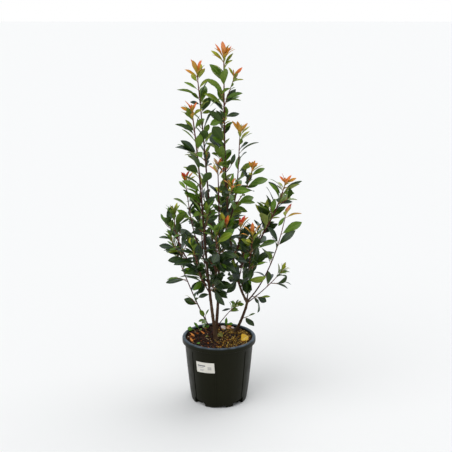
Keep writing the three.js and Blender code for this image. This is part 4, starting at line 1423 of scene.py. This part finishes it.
def bark_material():
    """Thin bark: green and red on young wood, and brown with pale streaks and lichen on old wood."""
    made, tree, shader = material("bark", roughness=0.72, specular=0.22)
    age = carried(tree, "age")
    grain = grain_of(tree, scale=900.0, stretch=5.0)
    skin = ramp(tree, age, [
        (0.0, (118, 108, 44)), (0.06, (116, 52, 50)), (0.3, (84, 36, 38)), (0.6, (70, 42, 32)),
        (1.0, (78, 54, 34))])
    streaked = darkened(tree, skin, ranged(tree, grain["Height"], 0.3, 0.7, 0.55, 1.25))
    lichen = times(tree, ranged(tree, grain["Patches"], 0.52, 0.68, 0.0, 0.35), age)
    tree.links.new(blend_of(tree, lichen, streaked, colour(104, 86, 60)), shader.inputs["Base Color"])
    bump(tree, shader, grain["Height"], distance=0.0004, strength=0.8)
    return made


def stalk_material():
    made, tree, shader = material("leaf_stalk", roughness=0.45)
    tint = ramp(tree, carried(tree, "shade"), [
        (0.0, (138, 146, 70)), (0.5, (168, 104, 74)), (1.0, (178, 74, 70))])
    tree.links.new(tint, shader.inputs["Base Color"])
    return made


# Finishing: what each piece rides on, stands for and takes its finish from

def dressed(piece, stands_for):
    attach(piece, "root")
    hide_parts(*stands_for)
    return piece


def plant():
    laid = lay_out(SHOOTS)
    shoots = list(laid.values())
    spaces = Spaces(shoots)
    masses = {shoot["name"]: mass_of(shoot, spaces) for shoot in shoots if has_leaves(shoot)}

    old, young = grow_wood(shoots, masses)
    bark = bark_material()
    dressed(mesh_piece("stems_and_boughs", old, [bark], "age", sharp=40), LIMBS)
    dressed(mesh_piece("young_stems", young, [bark], "age", sharp=40), MASSES)

    heaps, stalks, buds = grow_leaves(shoots, masses)
    for kind, heap in heaps.items():
        dressed(mesh_piece("leaves_" + kind, heap, leaf_materials(kind)), MASSES)
    dressed(mesh_piece("leaf_stalks", stalks, [stalk_material()]), MASSES)
    dressed(mesh_piece("buds", buds, [stalk_material()]), MASSES)


# The nursery pot

FOOT_RADIUS = 105
FOOT_ROUND = 3
WALL = 3
WALL_BOW = 0.72
BASE_SLAB = 30
RIM_DEPTH = 20
RIM_OVERHANG = 9.5
RIM_TOP = 133.6
RIM_ROLL = 6.4
RIM_ROLL_HEIGHT = 6
ROLL_END = 170
ROLL_STEPS = 13
FOOT_BREAK = 0.9
BASE_FILLET = 5
BASE_HUB = 40
POT_SIDES = 240
OUTSIDE_HEIGHTS = (3, 8, 16, 30, 50, 80, 120, 160, 200)
INSIDE_HEIGHTS = (190, 140, 90, 50)

# The lower edge of the rim: how far in from the rim's radius and above its foot each place is
RIM_SKIRT = ((4.2, 7), (2.2, 5), (2.2, 0.5), (1.1, 0), (0.3, 0.6), (0, 2.5))
UNDER_SKIRT = 6
ROLL_START = 3
ROLL_INSIDE = 5
rim_foot = POT_HEIGHT - RIM_DEPTH
body_top = RIM_RADIUS - RIM_OVERHANG

# What is cut out of the wall and the foot: a block's size runs inwards, along the wall and up, and
# half its height is above the floor. To both sides of the front and the back: turn from the middle,
# how far outside the foot's edge the block's middle is, size, rounding, and fall of its top. Then the
# arch in the middle of the front and the back, and the notch at each side.
FOOT_CUTS = (
    (35.5, -18, (70, 22, 31), 3, 0),
    (48, 1, (34, 34, 52), 3, -8),
    (42.5, -6, (52, 17, 40), 2, 0),
)
MIDDLE_CUT = (1.5, -8, (46, 46, 19), 3, -6)
SIDE_CUT = (0, -18, (64, 16, 34), 4, 0)
ROUND_STEPS = 3
GROOVE_HEIGHTS = (20, 66, 140, 218)
GROOVE_HALF = 2.3
GROOVE_DEPTH = 2.2
GROOVE_LAP = 2
GROOVE_TURN = 50
FAINT_GROOVE_TURN = -5
FAINT_GROOVE = 0.45


def wall_radius(height):
    return FOOT_RADIUS + (body_top - FOOT_RADIUS) * min(height / rim_foot, 1) ** WALL_BOW


def arc(middle, height, wide, tall, start, end, steps):
    """Places on part of an oval in the plane of a radius."""
    turns = np.radians(np.linspace(start, end, steps))
    return [(middle + wide * math.cos(turn), height + tall * math.sin(turn)) for turn in turns]


def pot_profile():
    """Radius and height, from the edge of the underside up the outside, over the rim and down inside."""
    crown = POT_HEIGHT - RIM_ROLL_HEIGHT
    outside = [(FOOT_RADIUS - FOOT_BREAK, FOOT_BREAK)]
    outside += [(wall_radius(height), height) for height in (*OUTSIDE_HEIGHTS, rim_foot + UNDER_SKIRT)]
    skirt = [(RIM_RADIUS - inwards, rim_foot + up) for inwards, up in RIM_SKIRT]
    skirt.append((RIM_RADIUS, crown - ROLL_START))
    roll = arc(RIM_TOP, crown, RIM_ROLL, RIM_ROLL_HEIGHT, 0, ROLL_END, ROLL_STEPS)
    inside = [(body_top - WALL, crown - ROLL_INSIDE), (body_top - WALL, rim_foot)]
    low = BASE_SLAB + BASE_FILLET
    inside += [(wall_radius(height) - WALL, height) for height in (*INSIDE_HEIGHTS, low)]
    inside += [(FOOT_RADIUS - WALL - FOOT_ROUND, BASE_SLAB), (BASE_HUB, BASE_SLAB)]
    return outside + skirt + roll + inside


def primitive(name, operator, **measures):
    """A primitive that is added with nothing else selected."""
    bpy.ops.object.select_all(action="DESELECT")
    operator(**measures)
    made = bpy.context.active_object
    made.name = name
    return made


def apply_place():
    bpy.ops.object.transform_apply(location=True, rotation=True, scale=True)


def pot_shell():
    """A ring that is extruded and widened step by step through the pot's profile."""
    radius, height = FOOT_RADIUS - FOOT_ROUND, 0.0
    shell = primitive("nursery_pot", bpy.ops.mesh.primitive_circle_add, vertices=POT_SIDES,
                      radius=radius * MM, fill_type="NGON")
    bpy.ops.object.mode_set(mode="EDIT")
    bpy.ops.mesh.select_mode(type="EDGE")
    bpy.ops.mesh.select_all(action="SELECT")
    bpy.ops.mesh.region_to_loop()
    for next_radius, next_height in pot_profile():
        rise = (0, 0, (next_height - height) * MM)
        bpy.ops.mesh.extrude_edges_move(TRANSFORM_OT_translate={"value": rise})
        scale = next_radius / radius
        bpy.ops.transform.resize(value=(scale, scale, 1), center_override=(0, 0, next_height * MM))
        radius, height = next_radius, next_height
    bpy.ops.mesh.edge_face_add()
    bpy.ops.mesh.select_all(action="SELECT")
    bpy.ops.mesh.normals_make_consistent(inside=False)
    bpy.ops.object.mode_set(mode="OBJECT")
    return shell


def block_at(heading, radius, size, height=0.0, lean=0.0, round_off=0.0, fall=0.0):
    """A block for cutting, its middle at a radius. Its top falls away towards one side."""
    block = primitive("block", bpy.ops.mesh.primitive_cube_add, size=1)
    block.scale = tuple(side * MM for side in size)
    apply_place()
    for corner in block.data.vertices:
        if corner.co.z > 0 and corner.co.y * fall > 0:
            corner.co.z -= abs(fall) * MM
    if round_off:
        edges = block.modifiers.new("round", "BEVEL")
        edges.width = round_off * MM
        edges.segments = ROUND_STEPS
        bpy.ops.object.modifier_apply(modifier="round")
    turn = math.radians(heading)
    block.rotation_euler = (0, lean, turn)
    block.location = (radius * math.cos(turn) * MM, radius * math.sin(turn) * MM, height * MM)
    apply_place()
    return block


def cut_out(body, blocks):
    """Takes joined blocks out of a body."""
    bpy.ops.object.select_all(action="DESELECT")
    for block in blocks:
        block.select_set(True)
    bpy.context.view_layer.objects.active = blocks[0]
    bpy.ops.object.join()
    joined = bpy.context.active_object
    alone(body)
    cut = body.modifiers.new("cut", "BOOLEAN")
    cut.operation = "DIFFERENCE"
    cut.solver = "EXACT"
    cut.use_self = True
    cut.object = joined
    bpy.ops.object.modifier_apply(modifier="cut")
    bpy.data.objects.remove(joined, do_unlink=True)


def groove(heading, deep=1.0):
    """Long narrow blocks, end to end, that follow the bowed wall."""
    blocks = []
    for low, high in zip(GROOVE_HEIGHTS, GROOVE_HEIGHTS[1:]):
        lean = math.atan2(wall_radius(high) - wall_radius(low), high - low)
        radius = (wall_radius(low) + wall_radius(high)) / 2
        size = (2 * GROOVE_DEPTH * deep, 2 * GROOVE_HALF, high - low + GROOVE_LAP)
        blocks.append(block_at(heading, radius, size, (low + high) / 2, lean))
    return blocks


def foot_cut(heading, cut, side=1):
    turn, out, size, round_off, fall = cut
    return block_at(heading + side * turn, FOOT_RADIUS + out, size, round_off=round_off, fall=side * fall)


def pot_cutters():
    """Grooves down the wall, a low arch, and a notch and a drain pocket between each two feet."""
    blocks = []
    for front in (270, 90):
        for side in (-1, 1):
            blocks += [foot_cut(front, cut, side) for cut in FOOT_CUTS]
            blocks += groove(front + side * GROOVE_TURN)
        blocks.append(foot_cut(front, MIDDLE_CUT))
        blocks += groove(front + FAINT_GROOVE_TURN, FAINT_GROOVE)
    blocks += [foot_cut(heading, SIDE_CUT) for heading in (0, 180)]
    return blocks


# The heights in metres between which the painted sky reflection on the rim comes in
SHEEN_HEIGHTS = (0.238, 0.25)


def pot_material():
    """Moulded black plastic with a satin shine, and a painted bluish sky reflection on the top of the rim.
    """
    made, tree, shader = material("moulded_plastic", roughness=0.5, specular=0.15, tint=WARM_BLACK)
    grain = grain_of(tree, scale=1500.0)
    streaks = grain_of(tree, scale=90.0, stretch=14.0)
    base = blend_of(tree, streaks["Height"], colour(9, 10, 2), colour(17, 18, 6))
    high = ranged(tree, parts_of(tree, object_place(tree))[2], *SHEEN_HEIGHTS, 0.0, 0.85)
    # Painted sky reflection: a blue-grey colour laid into the base colour on the top of the rim
    sheen_inputs = {"Color": base, "Painted sheen": colour(108, 122, 138), "Amount": high}
    sheened = node(tree, "Group", sheen_inputs, node_tree=RIM_SKY_SHEEN).outputs["Color"]
    tree.links.new(sheened, shader.inputs["Base Color"])
    rough = ranged(tree, grain["Patches"], 0.3, 0.7, 0.36, 0.5)
    tree.links.new(rough, shader.inputs["Roughness"])
    bump(tree, shader, grain["Height"], distance=0.00008, strength=0.6)
    return made


def nursery_pot():
    shell = pot_shell()
    cut_out(shell, pot_cutters())
    shell.data.materials.append(pot_material())
    smooth(shell, angle=32)
    return dressed(shell, ["pot"])


# The potting mix and what lies on it

MIX_SIDES = 220
MIX_RINGS = 58
MIX_STEP = 2.1
MIX_CLEAR = 0.6
MIX_LIFT = 0.4
MIX_FOOT_INSET = 4
STILL_EDGE = 1
LEVEL = 0.01
UPWARD = 0.9

# The relief of the mix: name, pattern, its size and height in metres, and its middle level
MIX_RELIEF = (
    ("swell", "CLOUDS", 0.05, 0.007, 0.5),
    ("lumps", "VORONOI", 0.011, -0.0055, 0.35),
    ("crumbs", "VORONOI", 0.0048, -0.0028, 0.35),
)


def mix_radius(height):
    return wall_radius(height) - WALL - MIX_CLEAR


def potting_mix():
    """A filling whose top is ringed by insets and then roughened by displacement."""
    top = mix_radius(SOIL_TOP)
    bottom = BASE_SLAB + MIX_LIFT
    mix = primitive(
        "potting_mix", bpy.ops.mesh.primitive_cone_add, vertices=MIX_SIDES,
        radius1=(mix_radius(BASE_SLAB) - MIX_FOOT_INSET) * MM, radius2=top * MM,
        depth=(SOIL_TOP - bottom) * MM, location=(0, 0, (SOIL_TOP + bottom) / 2 * MM), end_fill_type="NGON")
    apply_place()
    for face in mix.data.polygons:
        face.select = face.normal.z > UPWARD
    bpy.ops.object.mode_set(mode="EDIT")
    bpy.ops.mesh.select_mode(type="FACE")
    for _ in range(MIX_RINGS):
        bpy.ops.mesh.inset(thickness=MIX_STEP * MM)
    bpy.ops.object.mode_set(mode="OBJECT")
    upper = mix.vertex_groups.new(name="top")
    for corner in mix.data.vertices:
        if corner.co.z > (SOIL_TOP - LEVEL) * MM and corner.co.to_2d().length < (top - STILL_EDGE) * MM:
            upper.add([corner.index], 1.0, "REPLACE")
    alone(mix)
    for name, kind, scale, strength, middle in MIX_RELIEF:
        pattern = bpy.data.textures.new(name, kind)
        pattern.noise_scale = scale
        lift = mix.modifiers.new(name, "DISPLACE")
        lift.texture = pattern
        lift.texture_coords = "LOCAL"
        lift.direction = "Z"
        lift.mid_level = middle
        lift.strength = strength
        lift.vertex_group = "top"
        bpy.ops.object.modifier_apply(modifier=name)
    mix.data.materials.append(mix_material())
    smooth(mix, angle=60)
    return dressed(mix, ["soil"])


def mix_material():
    """Dark bark and peat, with ochre grit over the right half."""
    made, tree, shader = material("potting_mix", roughness=0.95, specular=0.1)
    place = object_place(tree)
    bits = node(tree, "TexVoronoi", {"Vector": place, "Scale": 260.0})
    pick = node(tree, "SeparateColor", {0: bits.outputs["Color"]}).outputs
    dark = ramp(tree, pick[0], [
        (0.0, (16, 10, 8)), (0.5, (34, 21, 15)), (0.85, (60, 38, 26)), (1.0, (120, 66, 30))])
    grit = ramp(tree, pick[1], [
        (0.0, (18, 12, 6)), (0.45, (50, 34, 14)), (0.8, (104, 74, 30)), (1.0, (168, 134, 72))])
    patches = node(tree, "TexNoise", {"Vector": place, "Scale": 26.0, "Detail": 3.0}).outputs["Fac"]
    uneven = times(tree, maths(tree, "SUBTRACT", patches, 0.5), 0.12)
    edge = maths(tree, "ADD", parts_of(tree, place)[0], uneven)
    mask = ranged(tree, edge, -0.012, 0.028, 0.0, 1.0)
    tree.links.new(blend_of(tree, mask, dark, grit), shader.inputs["Base Color"])
    bump(tree, shader, bits.outputs["Distance"], distance=0.002, strength=0.7)
    return made


class Ground:
    """The finished top of the mix, to lay things on."""

    def __init__(self, mix):
        self.tree = BVHTree.FromObject(mix, bpy.context.evaluated_depsgraph_get())

    def at(self, x, y):
        spot, normal, _, _ = self.tree.ray_cast(Vector((x * MM, y * MM, 1)), Vector((0, 0, -1)))
        return np.array(spot) / MM, np.array(normal)


def chip_shape():
    """A rough lump: an icosphere, its corners pushed about in use."""
    lump = primitive("lump", bpy.ops.mesh.primitive_ico_sphere_add, subdivisions=1, radius=1)
    corners = np.array([v.co for v in lump.data.vertices])
    faces = [tuple(face.vertices) for face in lump.data.polygons]
    bpy.data.objects.remove(lump, do_unlink=True)
    return corners, faces


CHIP_LEANS = (-0.5, 0.5)
CHIP_UPRIGHT = 0.4
CHIP_WIDTHS = (0.35, 0.8)
CHIP_THICKNESSES = (0.7, 1.3)
CHIP_PUSHES = (0.75, 1.2)
CHIP_RAISED = 0.25
EDGE_CLEAR = 6
LEFT_EDGE = (0, 26)
RIGHT_EDGE = (2, 22)


def lay_chips(ground, rng, count, sizes, flatness, spot_of):
    corners, faces = chip_shape()
    heap = Heap()
    for _ in range(count):
        x, y = spot_of(rng)
        spot, normal = ground.at(x, y)
        lean = unit(normal + np.array([rng.uniform(*CHIP_LEANS), rng.uniform(*CHIP_LEANS), CHIP_UPRIGHT]))
        side = unit(np.cross(lean, [math.cos(rng.uniform(*PHASES)), math.sin(rng.uniform(*PHASES)), 0.1]))
        other = np.cross(lean, side)
        long_way = rng.uniform(*sizes)
        wide = long_way * rng.uniform(*CHIP_WIDTHS)
        thick = long_way * flatness * rng.uniform(*CHIP_THICKNESSES)
        pushed = corners * np.array([[rng.uniform(*CHIP_PUSHES)] * 3 for _ in corners])
        axes = np.array([side * long_way, other * wide, lean * thick]) / 2
        heap.add(spot + lean * thick * CHIP_RAISED + pushed @ axes, faces, value=rng.random())
    return heap


def chip_material(name, first, second):
    made, tree, shader = material(name, roughness=0.85, specular=0.16)
    grain = grain_of(tree, scale=700.0)
    tint = blend_of(tree, carried(tree, "shade"), colour(*first), colour(*second))
    worn = darkened(tree, tint, ranged(tree, grain["Height"], 0.3, 0.7, 0.7, 1.2))
    tree.links.new(worn, shader.inputs["Base Color"])
    bump(tree, shader, grain["Height"], distance=0.0006, strength=0.7)
    return made


def anywhere(rng):
    radius = (mix_radius(SOIL_TOP) - EDGE_CLEAR) * math.sqrt(rng.random())
    turn = rng.uniform(0, 2 * math.pi)
    return radius * math.cos(turn), radius * math.sin(turn)


def left_side(rng):
    while True:
        x, y = anywhere(rng)
        if x < rng.gauss(*LEFT_EDGE):
            return x, y


def right_side(rng):
    while True:
        x, y = anywhere(rng)
        if x > rng.gauss(*RIGHT_EDGE):
            return x, y


# What lies on the mix: name, count, sizes, flatness, where, and two colours to vary between
CHIPS = (
    ("bark_chips", 560, (6, 17), 0.35, anywhere, (20, 13, 10), (68, 44, 34)),
    ("rust_chips", 60, (4, 13), 0.3, left_side, (112, 56, 18), (196, 104, 34)),
    ("pale_chips", 80, (4, 9), 0.35, anywhere, (160, 132, 96), (240, 214, 180)),
    ("ochre_grit", 440, (3.5, 8), 0.8, right_side, (128, 88, 22), (232, 192, 96)),
    ("brown_grit", 420, (3.5, 8.5), 0.75, right_side, (34, 22, 7), (104, 70, 22)),
    ("orange_grit", 60, (4, 9), 0.6, right_side, (150, 84, 24), (206, 124, 50)),
)


def chips(ground):
    rng = random.Random(CHIP_SEED)
    for name, count, sizes, flatness, spot_of, first, second in CHIPS:
        heap = lay_chips(ground, rng, count, sizes, flatness, spot_of)
        dressed(mesh_piece(name, heap, [chip_material(name, first, second)], sharp=20), ["soil"])


# Fallen leaves: foot, tip, width, roll and droop, in the order of their colours
FALLEN = {
    "yellow": [((82, -46, 245), (113, 2, 252), 42, 30, 12)],
    "rust": [((-79, 67, 247), (-48, 28, 247), 9, 10, 34), ((-114, 40, 248), (-92, 6, 247), 10, 10, 30),
             ((-112, -8, 247), (-98, -46, 246), 9, 20, 26), ((26, 112, 248), (53, 106, 248), 10, 20, 20)],
    "olive": [((-6, 41, 246), (11, 0, 249), 23, 25, 24), ((-56, -4, 246), (-32, 13, 247), 14, 30, 36)],
    "faded": [((5, 116, 248), (24, 84, 248), 16, 20, 16), ((44, 92, 247), (60, 96, 248), 12, 20, 20)],
    "orange": [((25, 99, 247), (41, 86, 248), 14, 20, 20)],
}

# The blade, second tint, midrib and edge of each
FALLEN_COLOURS = {
    "yellow": ((244, 188, 14), (252, 206, 40), (255, 236, 160), (190, 112, 10)),
    "rust": ((206, 112, 26), (222, 138, 50), (232, 172, 96), (130, 56, 18)),
    "olive": ((112, 112, 36), (140, 138, 62), (172, 168, 104), (96, 84, 30)),
    "faded": ((220, 200, 198), (226, 206, 200), (238, 224, 220), (180, 140, 130)),
    "orange": ((232, 156, 92), (240, 178, 120), (246, 208, 168), (200, 104, 48)),
}


FALLEN_RED = 0.5


def fallen_leaves():
    rng = random.Random(FALLEN_SEED)
    stalks = Heap()
    for name, rows in FALLEN.items():
        heap = Heap()
        for row in rows:
            add_laid_leaf(heap, stalks, rng, *row, redness=FALLEN_RED)
        skin = leaf_material("fallen_" + name, FALLEN_COLOURS[name], veins=0.35, roughness=0.6)
        dressed(mesh_piece("fallen_leaves_" + name, heap, [skin, skin]), ["soil"])
    dressed(mesh_piece("fallen_stalks", stalks, [stalk_material()]), ["soil"])


# Sprouts in the mix: each one's foot, and its leaves from foot to tip, with their width and roll
SPROUTS = (
    ((-90, 58), [((-100, 60, 253), (-123, 58, 259), 19, -62)]),
    ((-74, 62), [((-79, 60, 256), (-96, 56, 284), 12, -70), ((-76, 60, 249), (-68, 57, 258), 8, 60)]),
    ((-50, 66), [((-56, 60, 258), (-39, 57, 271), 12, 60), ((-62, 64, 267), (-48, 61, 277), 9, 60)]),
    ((30, 76), [((27, 60, 266), (28, 55, 303), 13, 165), ((32, 62, 272), (53, 58, 280), 11, 50)]),
    ((-76, -62), [((-84, -70, 247), (-70, -73, 251), 7, 45)]),
)
SPROUT_COLOURS = ((74, 128, 14), (96, 148, 24), (140, 172, 70), (70, 112, 20))
SPROUT_DROOP = 20
SPROUT_RED = 0.05
SPROUT_STEM_RED = 0.1
SPROUT_STEM = (0.9, 0.6)
SPROUT_RING = 6
SPROUT_STEPS = 6
SPROUT_DEPTH = 3


def sprouts(ground):
    """Young weeds and sprouts with a few bright leaves."""
    rng = random.Random(SPROUT_SEED)
    blades = Heap()
    stems = Heap()
    rise = np.array([0, 0, SPROUT_DEPTH])
    for (x, y), leaves in SPROUTS:
        foot, _ = ground.at(x, y)
        for base, tip, wide, roll in leaves:
            add_laid_leaf(blades, stems, rng, base, tip, wide, roll, SPROUT_DROOP, redness=SPROUT_RED)
            ends = np.array([foot - rise, (foot + base) / 2 + rise, base])
            course = bent_course(ends, SPROUT_STEPS)
            corners, faces = tube(course, np.linspace(*SPROUT_STEM, len(course)), SPROUT_RING)
            stems.add(corners, faces, value=SPROUT_STEM_RED)
    skin = leaf_material("sprout_leaf", SPROUT_COLOURS, veins=0.2, roughness=0.45)
    dressed(mesh_piece("sprout_leaves", blades, [skin, skin]), ["soil"])
    dressed(mesh_piece("sprout_stems", stems, [stalk_material()]), ["soil"])


# The label on the pot: the heading and height of its corners, and its plain bars, each from left to
# right and from low to high as shares of the label, with its grey

LABEL_CORNERS = ((228.4, 187.2), (262.2, 190.2), (263.3, 149.6), (229.1, 144.9))
LABEL_STEPS = (20, 10)
LABEL_STAND = 0.25
LABEL_THICK = 0.2
LABEL_BARS = (
    (0.08, 0.52, 0.60, 0.72, 120),
    (0.08, 0.44, 0.47, 0.52, 168),
    (0.20, 0.46, 0.26, 0.31, 172),
    (0.20, 0.40, 0.17, 0.21, 172),
    (0.64, 0.84, 0.52, 0.57, 132),
    (0.64, 0.84, 0.42, 0.47, 132),
    (0.64, 0.84, 0.32, 0.37, 132),
)


def on_pot(heading, height, stand):
    turn = math.radians(heading)
    radius = wall_radius(height) + stand
    return Vector((radius * math.cos(turn), radius * math.sin(turn), height)) * MM


def pot_label():
    """A paper patch that follows the wall, with plain grey bars where a print would be."""
    label = primitive("pot_label", bpy.ops.mesh.primitive_grid_add, x_subdivisions=LABEL_STEPS[0],
                      y_subdivisions=LABEL_STEPS[1], size=1)
    top_left, top_right, low_right, low_left = [np.array(corner) for corner in LABEL_CORNERS]
    layer = label.data.uv_layers[0]
    layer.name = "patch"
    for corner in label.data.vertices:
        across, up = corner.co.x + 0.5, corner.co.y + 0.5
        upper = top_left + (top_right - top_left) * across
        lower = low_left + (low_right - low_left) * across
        corner.co = on_pot(*(lower + (upper - lower) * up), LABEL_STAND)
    alone(label)
    sheet = label.modifiers.new("paper", "SOLIDIFY")
    sheet.thickness = LABEL_THICK * MM
    sheet.offset = 1
    bpy.ops.object.modifier_apply(modifier="paper")
    label.data.materials.append(label_material())
    smooth(label, angle=40)
    return dressed(label, ["pot"])


def label_material():
    made, tree, shader = material("label_paper", roughness=0.55)
    parts = parts_of(tree, node(tree, "UVMap", uv_map="patch").outputs["UV"])
    grain = grain_of(tree, scale=600.0)
    shade = blend_of(tree, grain["Patches"], colour(214, 210, 198), colour(236, 233, 224))
    for left, right, low, high, tint in LABEL_BARS:
        inside = 1.0
        for part, least, most in ((parts[0], left, right), (parts[1], low, high)):
            inside = times(tree, maths(tree, "GREATER_THAN", part, least), inside)
            inside = times(tree, maths(tree, "LESS_THAN", part, most), inside)
        shade = blend_of(tree, inside, shade, colour(tint, tint, tint + 4))
    tree.links.new(shade, shader.inputs["Base Color"])
    bump(tree, shader, grain["Height"], distance=0.00005, strength=0.5)
    return made


# Floor, light and camera

FLOOR_SIDE = 300
PALE = (0.94, 0.94, 0.94, 1)
SKY = (0.95, 0.98, 1, 1)
MIRRORED_SKY = (0.78, 0.9, 1, 1)
SUN_SPREAD = 60
CAMERA_PLACE = (0.0268, -3.061, 1.448)
CAMERA_PITCH = 14.03
SENSOR = 36
FOCAL_PIXELS = 852
VIEW_PIXELS = 452


def floor():
    ground = primitive("floor", bpy.ops.mesh.primitive_plane_add, size=FLOOR_SIDE)
    made, _, shader = material("pale_floor", roughness=0.95, specular=0.0)
    shader.inputs["Base Color"].default_value = PALE
    ground.data.materials.append(made)


def soft_sun(name, toward, spread, strength):
    """A wide, even light from far away, so that the whole floor is lit alike."""
    light = bpy.data.lights.new(name, "SUN")
    light.angle = math.radians(spread)
    light.energy = strength
    held = bpy.data.objects.new(name, light)
    held.rotation_euler = Vector(toward).to_track_quat("-Z", "Y").to_euler()
    bpy.context.scene.collection.objects.link(held)


def studio():
    """An even sky: what the camera sees behind is white, and what shines mirrors a bluer sky."""
    world = bpy.data.worlds.new("studio")
    bpy.context.scene.world = world
    world.use_nodes = True
    tree = world.node_tree
    around = tree.nodes["Background"]
    around.inputs["Color"].default_value = SKY
    around.inputs["Strength"].default_value = 0.4
    mirrored = node(tree, "Background", {"Color": MIRRORED_SKY, "Strength": 1.2})
    behind = node(tree, "Background", {"Color": WHITE, "Strength": 1.0})
    path = node(tree, "LightPath").outputs
    lit = node(tree, "MixShader")
    tree.links.new(path["Is Glossy Ray"], lit.inputs[0])
    tree.links.new(around.outputs[0], lit.inputs[1])
    tree.links.new(mirrored.outputs[0], lit.inputs[2])
    seen = node(tree, "MixShader")
    tree.links.new(path["Is Camera Ray"], seen.inputs[0])
    tree.links.new(lit.outputs[0], seen.inputs[1])
    tree.links.new(behind.outputs[0], seen.inputs[2])
    tree.links.new(seen.outputs[0], tree.nodes["World Output"].inputs["Surface"])
    soft_sun("key", (0.5, 0.55, -1), SUN_SPREAD, 1.3)
    soft_sun("back", (-0.4, -0.5, -1), SUN_SPREAD, 1.1)


def camera():
    lens = bpy.data.cameras.new("view")
    lens.sensor_width = SENSOR
    lens.lens = SENSOR * FOCAL_PIXELS / VIEW_PIXELS
    held = bpy.data.objects.new("view", lens)
    held.location = CAMERA_PLACE
    held.rotation_euler = (math.radians(90 - CAMERA_PITCH), 0, 0)
    bpy.context.scene.collection.objects.link(held)
    bpy.context.scene.camera = held


bpy.context.scene.view_settings.view_transform = "Standard"
camera()
studio()
floor()
plant()
nursery_pot()
ground = Ground(potting_mix())
chips(ground)
fallen_leaves()
sprouts(ground)
pot_label()
